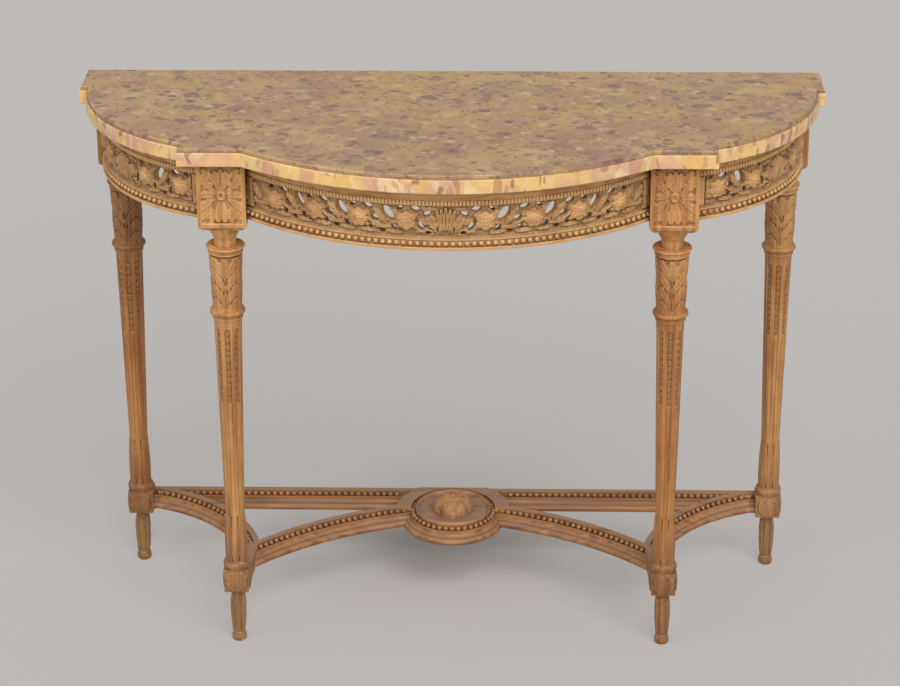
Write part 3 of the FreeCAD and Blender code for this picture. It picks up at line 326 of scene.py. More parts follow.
@dataclass(frozen=True)
class Knot(Placed):
    """A carved oval ring, where leaves are tied together."""

    half_width: float
    half_height: float
    height: float

    def heights(self, x: Array, y: Array) -> Array:
        """Carve the ring.

        Args:
            x: Places along the field.
            y: Places across the field.

        Returns:
            Relief at the points, far below the field outside the ring.
        """
        right, up = self.offsets(x, y)
        reach = np.hypot(right / self.half_width, up / self.half_height)
        return np.where(reach < 1, self.height * ridge(reach - 0.62, 0.28), NOTHING)


Motif = Leaf | Bloom | Knot


@dataclass(frozen=True)
class Piercing(Placed):
    """A hole through a field, shaped like a leaf with a point at each end.

    Attributes:
        length: Length from point to point.
        width: Greatest width.
        lean: Direction of its long axis, in degrees.
    """

    length: float
    width: float
    lean: float

    def depth(self, x: Array, y: Array) -> Array:
        """Find how far inside the hole points lie.

        Args:
            x: Places along the field.
            y: Places across the field.

        Returns:
            Distance inside the rim, below nought outside it.
        """
        ahead, beside = self.offsets(x, y, self.lean)
        swell = self.width / 2
        radius = ((self.length / 2) ** 2 + swell ** 2) / (2 * swell)
        return radius - np.hypot(ahead, np.abs(beside) + radius - swell)

    def mirrored(self) -> Self:
        """Give the hole mirrored about the field's upright middle line."""
        return replace(super().mirrored(), lean=-self.lean)


def relief(motifs: Iterable[Motif], x: Array, y: Array) -> Array:
    """Lay motifs over each other on a flat field.

    Args:
        motifs: What is carved.
        x: Places along the field.
        y: Places across the field.

    Returns:
        Heights at the points.
    """
    height = np.zeros(np.broadcast(x, y).shape)
    for motif in motifs:
        np.maximum(height, motif.heights(x, y), out=height)
    return height


def fan(blade: Leaf, spacing: float, spread: float, bend: float, drop: float) -> list[Leaf]:
    """Spread a blade into a fan of five.

    Args:
        blade: The upright blade in the middle.
        spacing: Distance from foot to foot.
        spread: Angle from blade to blade at the feet, in degrees.
        bend: Angle by which each blade turns out further than its inner neighbour.
        drop: How much lower each blade's relief is than its inner neighbour's.

    Returns:
        The blades, from the outer ones to the middle one.
    """
    blades = []
    for step in (-2, 2, -1, 1, 0):
        foot = (spacing * step, blade.at[1])
        length = blade.length - 2 * abs(step)
        height = blade.height - drop * abs(step)
        turned = replace(blade, at=foot, heading=blade.heading - spread * step, bend=-bend * step)
        blades.append(replace(turned, length=length, height=height))
    return blades


def faced(face: Face, out: Array, across: Array, level: Array) -> Array:
    """Place points on the side of a block that looks one way.

    Args:
        face: The side.
        out: Distances out of the block's middle.
        across: Distances across the side from its middle.
        level: Heights.

    Returns:
        Points, with x, y and z on the last axis.
    """
    turn = math.radians(face.value)
    x = out * math.cos(turn) - across * math.sin(turn)
    y = out * math.sin(turn) + across * math.cos(turn)
    return np.stack([x, y, level], axis=-1)


class Shell:
    """Points and faces of a piece, gathered grid by grid in millimetres."""

    def __init__(self) -> None:
        """Start with nothing."""
        self.points: list[Array] = []
        self.shades: list[Array] = []
        self.faces: list[list[int]] = []
        self.count = 0

    def add(self, points: Array, shade: Array | None = None) -> Array:
        """Take in points.

        Args:
            points: Array whose last axis holds x, y and z.
            shade: Painted shade of each point, by how deep in the carving it lies, from 0 to 1; all 0 if left
                out.

        Returns:
            Number of each point, in the shape of the array.
        """
        flat = points.reshape(-1, 3)
        numbers = np.arange(self.count, self.count + len(flat)).reshape(points.shape[:-1])
        self.points.append(flat)
        self.shades.append(np.zeros(len(flat)) if shade is None else np.clip(shade.ravel(), 0.0, 1.0))
        self.count += len(flat)
        return numbers

    def quads(self, corners: Sequence[Array]) -> None:
        """Add a face for each set of four corners."""
        self.faces += np.stack([corner.ravel() for corner in corners], axis=-1).tolist()

    def skin(self, numbers: Array, keep: Array | None = None) -> None:
        """Add faces between the neighbours of a grid.

        Args:
            numbers: Point numbers by row and column.
            keep: Which of the cells get a face; all of them if left out.
        """
        cells = np.stack([numbers[:-1, :-1], numbers[:-1, 1:], numbers[1:, 1:], numbers[1:, :-1]], axis=-1)
        chosen = cells.reshape(-1, 4) if keep is None else cells[keep]
        self.faces += chosen.tolist()

    def cap(self, ring: Array) -> None:
        """Close a ring of points with one face."""
        self.faces.append(ring.tolist())

    def stem(self, rows: Array) -> None:
        """Skin rows of points that run round a stem and close both ends."""
        self.skin(np.concatenate([rows, rows[:, :1]], axis=1))
        self.cap(rows[0])
        self.cap(rows[-1])

    def mesh(self, name: str, place: Vector = Vector()) -> bpy.types.Mesh:
        """Make a closed mesh of the gathered faces, turned outwards.

        Args:
            name: Name of the mesh.
            place: Offset of its own origin in the frame, in metres.

        Returns:
            The mesh, with the painted shade of each point.
        """
        mesh = bpy.data.meshes.new(name)
        points = np.concatenate(self.points) * MM + np.array(place)
        mesh.from_pydata(points.tolist(), [], self.faces)
        layer = mesh.attributes.new(SHADE, "FLOAT", "POINT")
        layer.data.foreach_set("value", np.concatenate(self.shades))
        work = bmesh.new()
        work.from_mesh(mesh)
        bmesh.ops.remove_doubles(work, verts=work.verts, dist=SAME_POINT)
        bmesh.ops.recalc_face_normals(work, faces=work.faces)
        work.to_mesh(mesh)
        work.free()
        return mesh

    def piece(self, name: str, finish: Material, place: Vector = Vector(), sharp: float = 40.0) -> Piece:
        """Make the object of the gathered faces.

        Args:
            name: Name of the piece.
            finish: Its material.
            place: Offset of its own origin in the frame, in metres.
            sharp: Angle in degrees past which an edge isn't smoothed.

        Returns:
            The object, at the origin.
        """
        mesh = self.mesh(name, place)
        mesh.shade_smooth()
        mesh.set_sharp_from_angle(angle=math.radians(sharp))
        mesh.materials.append(finish)
        return show(name, mesh)


def show(name: str, mesh: bpy.types.Mesh) -> Piece:
    """Put a mesh into the scene.

    Args:
        name: Name of the object.
        mesh: Its mesh.

    Returns:
        The object, at the origin.
    """
    piece = bpy.data.objects.new(name, mesh)
    bpy.context.scene.collection.objects.link(piece)
    return piece


def seat(piece: Piece, *nodes: str) -> None:
    """Tie a carved piece to the table.

    Args:
        piece: The finished object.
        nodes: Nodes of the frame that it stands for.
    """
    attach(piece, BODY)
    if nodes:
        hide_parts(*nodes)
    LOG.info("%s: %d faces", piece.name, len(piece.data.polygons))


class Graph:
    """Nodes of one tree."""

    def __init__(self, tree: bpy.types.NodeTree) -> None:
        """Take the tree that the nodes go into."""
        self.tree = tree

    def node(
        self, kind: str, settings: dict | None = None, *values: object, **inputs: object
    ) -> bpy.types.Node:
        """Add a node.

        Args:
            kind: Blender's name of the node.
            settings: Properties to set on it.
            values: Values or sockets for its first inputs, in order.
            inputs: Values or sockets for its inputs, by name with underscores for spaces.

        Returns:
            The node.
        """
        made = self.tree.nodes.new(kind)
        for key, value in (settings or {}).items():
            setattr(made, key, value)
        for index, value in enumerate(values):
            self.feed(made.inputs[index], value)
        for key, value in inputs.items():
            self.feed(made.inputs[key.replace("_", " ")], value)
        return made

    def feed(self, socket: Socket, value: object) -> None:
        """Link a socket to an output, or set its value."""
        if isinstance(value, Socket):
            self.tree.links.new(value, socket)
        else:
            socket.default_value = value

    def reckon(self, operation: str, first: object, second: object) -> Socket:
        """Work out a value from two others."""
        return self.node("ShaderNodeMath", {"operation": operation}, first, second).outputs[0]

    def times(self, first: object, second: object) -> Socket:
        """Multiply two values."""
        return self.reckon("MULTIPLY", first, second)


class ShaderGraph(Graph):
    """Shader nodes of one material."""

    def __init__(self, name: str) -> None:
        """Make the material with its surface shader.

        Args:
            name: Name of the material.
        """
        self.material = bpy.data.materials.new(name)
        self.material.use_nodes = True
        super().__init__(self.material.node_tree)
        self.shader = self.tree.nodes["Principled BSDF"]
        self.coords = self.node("ShaderNodeTexCoord").outputs["Object"]

    def noise(self, vector: Socket, scale: float, detail: float = 3.0, rough: float = 0.5) -> Socket:
        """Give smooth noise between 0 and 1.

        Args:
            vector: Where it is read.
            scale: Waves in a metre.
            detail: Octaves.
            rough: Strength of the fine octaves.

        Returns:
            The noise's value.
        """
        made = self.node("ShaderNodeTexNoise", Vector=vector, Scale=scale, Detail=detail, Roughness=rough)
        return made.outputs["Fac"]

    def stretched(self, scale: Triple, turn: Triple = (0, 0, 0)) -> Socket:
        """Give the object's coordinates, stretched and turned."""
        made = self.node("ShaderNodeMapping", Vector=self.coords, Scale=scale, Rotation=turn)
        return made.outputs["Vector"]

    def upright(self, vector: Socket) -> Socket:
        """Give a vector's upright part."""
        return self.node("ShaderNodeSeparateXYZ", Vector=vector).outputs["Z"]

    def facing(self) -> Socket:
        """Give how far the surface looks up, 1 where it lies level."""
        return self.upright(self.node("ShaderNodeNewGeometry").outputs["Normal"])

    def openness(self, distance: float, samples: int, **flags: bool) -> Socket:
        """Give how free a point's surroundings are, from 0 in a crack to 1 on an open face."""
        settings = {"samples": samples, **flags}
        return self.node("ShaderNodeAmbientOcclusion", settings, Distance=distance).outputs["AO"]

    def mix(self, share: object, first: object, second: object, mode: str = "MIX") -> Socket:
        """Mix two colours.

        Args:
            share: How much of the second colour shows.
            first: First colour.
            second: Second colour.
            mode: How the second is laid over the first.

        Returns:
            The mixed colour.
        """
        made = self.node("ShaderNodeMix", {"data_type": "RGBA", "blend_type": mode}, share)
        self.feed(made.inputs[6], first)
        self.feed(made.inputs[7], second)
        return made.outputs[2]

    def ramp(self, value: Socket, low: float, high: float, top: float = 1.0) -> Socket:
        """Stretch a value.

        Args:
            value: What is stretched.
            low: Value that becomes 0.
            high: Value that becomes the top.
            top: Greatest result.

        Returns:
            The result, which stays between 0 and the top.
        """
        reach = {"From_Min": low, "From_Max": high, "To_Max": top}
        return self.node("ShaderNodeMapRange", {"clamp": True}, Value=value, **reach).outputs["Result"]

    def steps(self, value: Socket, colours: Sequence[Colour], smooth: bool = False) -> Socket:
        """Give one of several colours by a value between 0 and 1.

        Args:
            value: What chooses.
            colours: The colours, in order.
            smooth: Whether they run into each other.

        Returns:
            The chosen colour.
        """
        made = self.node("ShaderNodeValToRGB", Fac=value)
        ramp = made.color_ramp
        ramp.interpolation = "LINEAR" if smooth else "CONSTANT"
        for index, colour in enumerate(colours):
            at = index / (len(colours) - 1 if smooth else len(colours))
            stop = ramp.elements[index] if index < 2 else ramp.elements.new(at)
            stop.position = at
            stop.color = colour
        return made.outputs["Color"]

    def bump(self, height: Socket, strength: float, distance: float) -> None:
        """Raise and sink the surface by a value."""
        made = self.node("ShaderNodeBump", Height=height, Strength=strength, Distance=distance)
        self.feed(self.shader.inputs["Normal"], made.outputs["Normal"])

    def painted(self, tone: object, roughness: float) -> Material:
        """Give the surface its colour and roughness, and hand out the material."""
        self.feed(self.shader.inputs["Base Color"], tone)
        self.feed(self.shader.inputs["Roughness"], roughness)
        return self.material


@dataclass(frozen=True)
class CarvedWood:
    """Bare honey-brown wood, worn pale on its edges with a painted highlight there, with painted shade in its
    recesses and carving, and dusty in its carving.

    Attributes:
        name: Name of the material.
        grain: How the grain runs.
        light: Colour of the light grain bands, and of the worn edges, where it also stands in as a painted
            highlight.
        middle: Colour of most of the surface.
        dark: Colour of the grain's dark streaks.
        ruddy: Colour of the redder patches.
        ground_shade: Colour of the painted shade on the carving's ground.
        recess_shade: Colour of the painted shade in cracks and corners.
        dust: Colour of the old pale ground that is left here and there.
        ground_shade_share: How strongly the painted shade darkens the carving's ground.
        dust_share: How strongly the old ground shows.
        settled: How strongly dust shows on what faces up.
        recess_shade_share: How strongly the painted shade darkens the recesses.
        height_tints: Tints from the floor up to the slab, evenly spaced, which paint shade and grime by height.
        roughness: Roughness of the wood.
    """

    name: str
    grain: Grain
    light: Colour = paint("deae70")
    middle: Colour = paint("ba8a58")
    dark: Colour = paint("906038")
    ruddy: Colour = paint("a86e40")
    ground_shade: Colour = paint("745234")
    recess_shade: Colour = paint("54321a")
    dust: Colour = paint("c8b294")
    ground_shade_share: float = 0.7
    dust_share: float = 0.45
    settled: float = 0.0
    recess_shade_share: float = 0.85
    height_tints: tuple[Triple, ...] = ()
    roughness: float = 0.5

    def material(self) -> Material:
        """Build the shader.

        Returns:
            The material.
        """
        graph = ShaderGraph(self.name)
        along = graph.stretched(self.grain.value)
        bands = graph.noise(along, 90.0)
        streaks = graph.noise(along, 320.0, 4.0, 0.6)
        patches = graph.noise(graph.coords, 18.0)
        specks = graph.noise(graph.coords, 190.0)
        band_colours = (self.dark, self.middle, self.light, self.middle)
        tone = graph.steps(graph.ramp(bands, 0.25, 0.75), band_colours, True)
        tone = graph.mix(graph.ramp(streaks, 0.45, 0.75, 0.45), tone, self.dark)
        tone = graph.mix(graph.ramp(patches, 0.45, 0.7, 0.55), tone, self.ruddy)
        # Worn edges: partly real wear, partly a painted highlight along every convex edge
        edge = graph.openness(0.0035, 4, inside=True, only_local=True)
        tone = graph.mix(graph.ramp(edge, 0.95, 0.45, 0.7), tone, self.light)
        # Painted shade by height, with grime: the tints darken the wood towards the floor
        if self.height_tints:
            level = graph.ramp(graph.upright(graph.coords), 0.0, SLAB_BOTTOM)
            height_tint = graph.steps(level, [(*tint, 1.0) for tint in self.height_tints], True)
            tone = graph.mix(1.0, tone, height_tint, "MULTIPLY")
        # Painted shade: the deeper a point lies in the carving, the more it takes the ground's shade colour
        shade = graph.node("ShaderNodeAttribute", {"attribute_name": SHADE}).outputs["Fac"]
        tone = graph.mix(graph.times(shade, self.ground_shade_share), tone, self.ground_shade)
        # Painted shade: cracks and corners darken by how closed in they are, and dust settles in the half-open
        # ones
        hollow = graph.openness(0.009, 6)
        tone = graph.mix(graph.ramp(hollow, 0.82, 0.22, self.recess_shade_share), tone, self.recess_shade)
        dust = graph.times(graph.ramp(specks, 0.54, 0.66), graph.ramp(hollow, 0.97, 0.7, self.dust_share))
        tone = graph.mix(dust, tone, self.dust)
        if self.settled:
            level = graph.ramp(graph.facing(), 0.55, 0.95)
            cover = graph.times(level, graph.ramp(patches, 0.2, 0.6, self.settled))
            tone = graph.mix(cover, tone, self.dust)
        graph.bump(streaks, 0.15, 0.0006)
        return graph.painted(tone, self.roughness)


@dataclass(frozen=True)
class PlainWood:
    """Sawn secondary wood, darker and duller than the carved wood.

    Attributes:
        name: Name of the material.
        grain: How the grain runs.
        light: Colour of the early wood.
        dark: Colour of the late wood.
        roughness: Roughness of the wood.
    """

    name: str
    grain: Grain
    light: Colour = paint("96704a")
    dark: Colour = paint("68462a")
    roughness: float = 0.75

    def material(self) -> Material:
        """Build the shader.

        Returns:
            The material.
        """
        graph = ShaderGraph(self.name)
        streaks = graph.noise(graph.stretched(self.grain.value), 150.0, 5.0, 0.65)
        tone = graph.mix(graph.ramp(streaks, 0.35, 0.7), self.light, self.dark)
        graph.bump(streaks, 0.2, 0.0008)
        return graph.painted(tone, self.roughness)


@dataclass(frozen=True)
class Fragments:
    """Broken pieces of one size in the breccia.

    Attributes:
        scale: Cells in a metre.
        share: Share of the cells that hold a fragment.
        margin: Width of the ground round a fragment, as a share of its cell.
        strength: How clearly they stand out.
        colours: Their colours.
    """

    scale: float
    share: float
    margin: float
    strength: float
    colours: tuple[Colour, ...]


@dataclass(frozen=True)
class Stone:
    """Colours of one side of the slab.

    Attributes:
        ground: Colours that the ground drifts between.
        layers: Fragments, each laid over the one before.
        squeeze: Scale of the pattern up the slab, below 1 where the fragments stand upright.
    """

    ground: tuple[Colour, ...]
    layers: tuple[Fragments, ...]
    squeeze: float = 1.0


TAN_ROSE = palette("c09e7a a2806a caaa76 b08874 987866 be9678")
GOLD_ROSE = palette("d69e86 ecc068 f2daa8 cc967e e8bc88 f0ce8a")
SHADED_TOP = Stone(
    palette("b39168 bc9862 af886a bf9d64"),
    (
        Fragments(15.0, 0.55, 0.05, 0.42, palette("c2a278 c8a66c b28e74 a4866c")),
        Fragments(33.0, 0.42, 0.08, 0.55, TAN_ROSE),
        Fragments(29.0, 0.14, 0.16, 0.8, palette("8c7064 987868 826a62 a07664")),
        Fragments(64.0, 0.24, 0.1, 0.72, palette("86685c ceb086 a27c64 785e56")),
        Fragments(150.0, 0.17, 0.1, 0.65, palette("7a5c4e ceb086 967058 6c524a")),
    ),
)
LIT_EDGE = Stone(
    palette("eec88e e2b08c f2ca7a deac8a f6dca8"),
    (
        Fragments(30.0, 0.6, 0.04, 0.6, GOLD_ROSE),
        Fragments(80.0, 0.36, 0.1, 0.65, palette("b07a5c f2d69e ce9670 8e6248")),
    ),
    0.4,
)


@dataclass(frozen=True)
class Breccia:
    """Polished breccia marble: broken fragments of many colours in a tan ground.

    Attributes:
        name: Name of the material.
        top: Colours of the top, darker than the edge's as painted shade, and calmer in pattern.
        edge: Colours of the edge, lighter than the top's as painted light, and busier in pattern.
        lip: Heights between which the edge's lip takes on the top's colours.
        dirt_and_shade: Colour of the dark flecks, and of the painted shade in the edge's moulding.
        haze: Tint of the cloudy patches.
        roughness: Roughness of the polish.
    """

    name: str
    top: Stone = SHADED_TOP
    edge: Stone = LIT_EDGE
    lip: Point = (0.8822, 0.8842)
    dirt_and_shade: Colour = paint("80583a")
    haze: Colour = (0.84, 0.83, 0.83, 1.0)
    roughness: float = 0.35

    def material(self) -> Material:
        """Build the shader.

        Returns:
            The material.
        """
        graph = ShaderGraph(self.name)
        # Painted light: faces that look up take the darker top colours, upright faces the lighter edge colours
        level = graph.ramp(graph.facing(), 0.8, 0.98)
        upper = graph.reckon("MAXIMUM", level, graph.ramp(graph.upright(graph.coords), *self.lip))
        tone = graph.mix(upper, self.laid(graph, self.edge), self.laid(graph, self.top))
        flecks = graph.noise(graph.coords, 260.0, 3.0, 0.7)
        tone = graph.mix(graph.ramp(flecks, 0.58, 0.72, 0.3), tone, self.dirt_and_shade)
        clouds = graph.ramp(graph.noise(graph.coords, 45.0, 5.0, 0.7), 0.3, 0.72)
        tone = graph.mix(clouds, graph.mix(1.0, tone, self.haze, "MULTIPLY"), tone)
        # Painted shade: creases in the moulding darken by how closed in they are
        hollow = graph.openness(0.005, 6, only_local=True)
        tone = graph.mix(graph.ramp(hollow, 0.9, 0.45, 0.8), tone, self.dirt_and_shade)
        return graph.painted(tone, self.roughness)

    def laid(self, graph: ShaderGraph, stone: Stone) -> Socket:
        """Lay a side's fragments on its ground.

        Args:
            graph: The material's nodes.
            stone: Colours of the side.

        Returns:
            The side's colour.
        """
        drift = graph.ramp(graph.noise(graph.coords, 7.0, 4.0, 0.6), 0.3, 0.7)
        tone = graph.steps(drift, stone.ground, True)
        vector = self.warped(graph, stone.squeeze)
        for layer in stone.layers:
            tone = self.broken(graph, vector, layer, tone)
        return tone

    @staticmethod
    def warped(graph: ShaderGraph, squeeze: float) -> Socket:
        """Give coordinates that bend the fragments' outlines.

        Args:
            graph: The material's nodes.
            squeeze: Scale of the pattern up the slab.

        Returns:
            The bent coordinates.
        """
        vector = graph.stretched((1.0, 1.2, squeeze), (0.0, 0.0, 0.5))
        for scale, reach in ((26.0, 0.012), (90.0, 0.003)):
            noise = graph.node("ShaderNodeTexNoise", Vector=graph.coords, Scale=scale, Detail=2.0)
            swirl = noise.outputs["Color"]
            push = graph.node("ShaderNodeVectorMath", {"operation": "SCALE"}, swirl, Scale=reach)
            bent = graph.node("ShaderNodeVectorMath", {"operation": "ADD"}, vector, push.outputs["Vector"])
            vector = bent.outputs["Vector"]
        return vector

    @staticmethod
    def broken(graph: ShaderGraph, vector: Socket, layer: Fragments, tone: Socket) -> Socket:
        """Lay fragments of one size over what lies below.

        Args:
            graph: The material's nodes.
            vector: Where the pattern is read.
            layer: The fragments.
            tone: Colour below them.

        Returns:
            The colour with the fragments.
        """
        cells = {"Vector": vector, "Scale": layer.scale}
        cell = graph.node("ShaderNodeTexVoronoi", **cells)
        pick = graph.node("ShaderNodeSeparateColor", Color=cell.outputs["Color"])
        rim = graph.node("ShaderNodeTexVoronoi", {"feature": "DISTANCE_TO_EDGE"}, **cells)
        body = graph.ramp(rim.outputs["Distance"], layer.margin - 0.02, layer.margin + 0.03)
        there = graph.ramp(pick.outputs["Green"], layer.share + 0.01, layer.share, layer.strength)
        return graph.mix(graph.times(body, there), tone, graph.steps(pick.outputs["Red"], layer.colours))


def mixed_finishes() -> dict[str, Material]:
    """Build every material of the table once.

    Returns:
        The materials by name.
    """
    leg = CarvedWood(
        "leg_wood",
        Grain.UPRIGHT,
        *palette("e2b270 c28e56 945e32 ac6c3a"),
        recess_shade_share=0.55,
        # Darker towards the floor: partly grime, partly painted shade of the light from above
        height_tints=(
            (0.46, 0.43, 0.45),
            (0.50, 0.46, 0.48),
            (0.72, 0.63, 0.57),
            (0.73, 0.63, 0.56),
            (0.70, 0.61, 0.55),
            (0.76, 0.69, 0.63),
            (0.98, 0.98, 0.98),
            (0.90, 0.90, 0.90),
        ),
    )
    # Painted shade: a darker copy of the tints for the front-right leg, which the right lamp lights more
    # strongly
    deeper = tuple((0.88 * red, 0.79 * green, 0.71 * blue) for red, green, blue in leg.height_tints)
    # Painted shadow: the back-left leg's capital, under the frieze and slab, is darkened at its height
    shaded = (*deeper[:5], (0.48, 0.38, 0.32), (0.55, 0.45, 0.38), deeper[7])
    # Painted shade: darker colours for the husks, which sit deep in the flutes
    light, middle, dark, ruddy = palette("ba8a52 a67541 80542c 8e5c30")
    recipes = (
        leg,
        replace(leg, name="shade_painted_leg_wood", height_tints=deeper),
        replace(leg, name="shaded_leg_wood", height_tints=shaded),
        replace(leg, name="shade_painted_husk_wood", light=light, middle=middle, dark=dark, ruddy=ruddy),
        CarvedWood(
            "frieze_wood",
            Grain.ACROSS,
            middle=paint("c2905c"),
            ground_shade=paint("7c5c3a"),
            recess_shade=paint("5c3a20"),
            dust_share=0.6,
            recess_shade_share=0.75,
        ),
        CarvedWood(
            "stretcher_wood",
            Grain.ACROSS,
            *palette("ac7846 885a34 5e3a20 804e2c"),
            recess_shade=paint("563823"),
            dust=paint("927a66"),
            dust_share=0.5,
            settled=0.72,
            recess_shade_share=0.6,
        ),
        PlainWood("plain_wood", Grain.ACROSS),
        PlainWood("peg_wood", Grain.UPRIGHT, *palette("a87e52 785232")),
        Breccia("breccia_marble"),
    )
    return {recipe.name: recipe.material() for recipe in recipes}


class RowTree(Graph):
    """A Geometry Nodes tree that grows shapes along a path, with named inputs."""

    def __init__(self, name: str, **inputs: str) -> None:
        """Make the tree with its sockets.

        Args:
            name: Name of the tree.
            inputs: Kinds of the inputs that only this tree has, by name.
        """
        super().__init__(bpy.data.node_groups.new(name, "GeometryNodeTree"))
        kinds = {"Path": "Geometry", "Pitch": "Float", "Finish": "Material", **inputs}
        sockets = self.tree.interface
        self.keys = {
            label: sockets.new_socket(label, in_out="INPUT", socket_type="NodeSocket" + kind).identifier
            for label, kind in kinds.items()
        }
        sockets.new_socket("Geometry", in_out="OUTPUT", socket_type="NodeSocketGeometry")
        self.entry = self.node("NodeGroupInput").outputs

    def points(self) -> Socket:
        """Give points along the path, one pitch apart."""
        line = self.node("GeometryNodeMeshToCurve", Mesh=self.entry["Path"]).outputs["Curve"]
        pitch = self.entry["Pitch"]
        spaced = self.node("GeometryNodeResampleCurve", {"mode": "LENGTH"}, Curve=line, Length=pitch)
        return spaced.outputs["Curve"]

    def close(self, instances: Socket) -> None:
        """Make the instances real, smooth and dressed, and hand them out."""
        real = self.node("GeometryNodeRealizeInstances", Geometry=instances).outputs["Geometry"]
        smooth = self.node("GeometryNodeSetShadeSmooth", Geometry=real).outputs["Geometry"]
        dressed = self.node("GeometryNodeSetMaterial", Geometry=smooth, Material=self.entry["Finish"])
        self.node("NodeGroupOutput", Geometry=dressed.outputs["Geometry"])

    def grow(self, name: str, paths: Sequence[Array], closed: bool, **values: object) -> Piece:
        """Grow the tree on paths and keep the result as a plain mesh.

        Args:
            name: Name of the piece.
            paths: Points of each path, in millimetres.
            closed: Whether a path's end meets its start.
            values: Values of the tree's inputs, by name.

        Returns:
            The piece.
        """
        mesh = bpy.data.meshes.new(name + "_path")
        edges: list[tuple[int, int]] = []
        start = 0
        for path in paths:
            count = len(path)
            last = count if closed else count - 1
            edges += [(start + index, start + (index + 1) % count) for index in range(last)]
            start += count
        mesh.from_pydata((np.concatenate(paths) * MM).tolist(), edges, [])
        carrier = show(name + "_path", mesh)
        modifier = carrier.modifiers.new(name, "NODES")
        modifier.node_group = self.tree
        for label, value in values.items():
            modifier[self.keys[label]] = value
        graph = bpy.context.evaluated_depsgraph_get()
        grown = bpy.data.meshes.new_from_object(carrier.evaluated_get(graph))
        grown.name = name
        carrier.modifiers.clear()
        bpy.data.objects.remove(carrier)
        bpy.data.meshes.remove(mesh)
        return show(name, grown)


class PearlTree(RowTree):
    """Rows of carved pearls."""

    def __init__(self) -> None:
        """Build the tree: one low ball at each point of the path."""
        super().__init__("pearl_row", Radius="Float")
        radius = self.entry["Radius"]
        ball = self.node("GeometryNodeMeshUVSphere", Segments=10, Rings=6, Radius=radius).outputs["Mesh"]
        pearls = self.node("GeometryNodeInstanceOnPoints", Points=self.points(), Instance=ball)
        self.close(pearls.outputs["Instances"])

    def build(
        self,
        name: str,
        paths: Sequence[Array],
        pitch: float,
        radius: float,
        finish: Material,
        closed: bool = False,
    ) -> None:
        """Make one piece of pearls.

        Args:
            name: Name of the piece.
            paths: Points of each path.
            pitch: Distance from pearl to pearl.
            radius: Radius of a pearl.
            finish: Their material.
            closed: Whether a path's end meets its start.
        """
        seat(self.grow(name, paths, closed, Pitch=pitch * MM, Radius=radius * MM, Finish=finish))


class SprigTree(RowTree):
    """Rows of one small carved leaf, which may be repeated round the upright axis."""

    # Steps along a leaf and across it, and depth of its flat back
    rows: int = 6
    columns: int = 7
    back: float = 0.8

    def __init__(self) -> None:
        """Build the tree: the leaf faces along the path, and the whole row is turned into several."""
        super().__init__("sprig_row", Sprig="Object", Rows="Int")
        leaf = self.node("GeometryNodeObjectInfo", Object=self.entry["Sprig"]).outputs["Geometry"]
        tangent = self.node("GeometryNodeInputTangent").outputs["Tangent"]
        axes = {"axis": "X", "pivot_axis": "Z"}
        facing = self.node("FunctionNodeAlignRotationToVector", axes, Vector=tangent).outputs["Rotation"]
        row = self.node("GeometryNodeInstanceOnPoints", Points=self.points(), Instance=leaf, Rotation=facing)
        whole = self.node("GeometryNodeGeometryToInstance", Geometry=row.outputs["Instances"])
        hub = self.node("GeometryNodePoints", Count=self.entry["Rows"])
        number = self.node("GeometryNodeInputIndex").outputs["Index"]
        turn = self.times(self.reckon("DIVIDE", number, self.entry["Rows"]), math.tau)
        spin = self.node("ShaderNodeCombineXYZ", Z=turn)
        round_axis = self.node("FunctionNodeEulerToRotation", Euler=spin.outputs["Vector"])
        rows = self.node(
            "GeometryNodeInstanceOnPoints",
            Points=hub.outputs["Points"],
            Instance=whole.outputs["Instances"],
            Rotation=round_axis.outputs["Rotation"],
        )
        self.close(rows.outputs["Instances"])

    def template(self, name: str, leaf: Leaf, facing: Face) -> Piece:
        """Make the leaf that a row repeats, with its foot at the origin and its tip up.

        Args:
            name: Name of the template.
            leaf: The leaf's form.
            facing: The way that its carved side looks.

        Returns:
            The template object.
        """
        steps = (np.linspace(0.02, 0.98, self.rows), np.linspace(-1, 1, self.columns))
        run, across = np.meshgrid(*steps, indexing="ij")
        side = across * leaf.edge(run)
        level = run * leaf.length
        shell = Shell()
        front = shell.add(faced(facing, leaf.crown(run, side, np.abs(across)), side, level))
        shell.skin(front)
        rim = np.concatenate([front[0, :-1], front[:-1, -1], front[-1, :0:-1], front[:0:-1, 0]])
        behind = np.full(len(rim), -self.back)
        back = shell.add(faced(facing, behind, side.ravel()[rim], level.ravel()[rim]))
        shell.skin(np.stack([np.append(rim, rim[0]), np.append(back, back[0])]))
        shell.cap(back)
        return show(name, shell.mesh(name))

    def build(
        self,
        name: str,
        path: Array,
        leaf: Leaf,
        facing: Face,
        pitch: float,
        finish: Material,
        rows: int = 1,
        place: Vector = Vector(),
    ) -> None:
        """Make one piece of small leaves.

        Args:
            name: Name of the piece.
            path: Points of the path.
            leaf: The leaf's form.
            facing: The way that its carved side looks.
            pitch: Distance from leaf to leaf.
            finish: Their material.
            rows: Rows round the upright axis.
            place: Offset of the axis in the frame, in metres.
        """
        template = self.template(name + "_template", leaf, facing)
        values = {"Pitch": pitch * MM, "Sprig": template, "Rows": rows, "Finish": finish}
        piece = self.grow(name, [path], False, **values)
        piece.data.transform(Matrix.Translation(place))
        bpy.data.objects.remove(template)
        seat(piece)


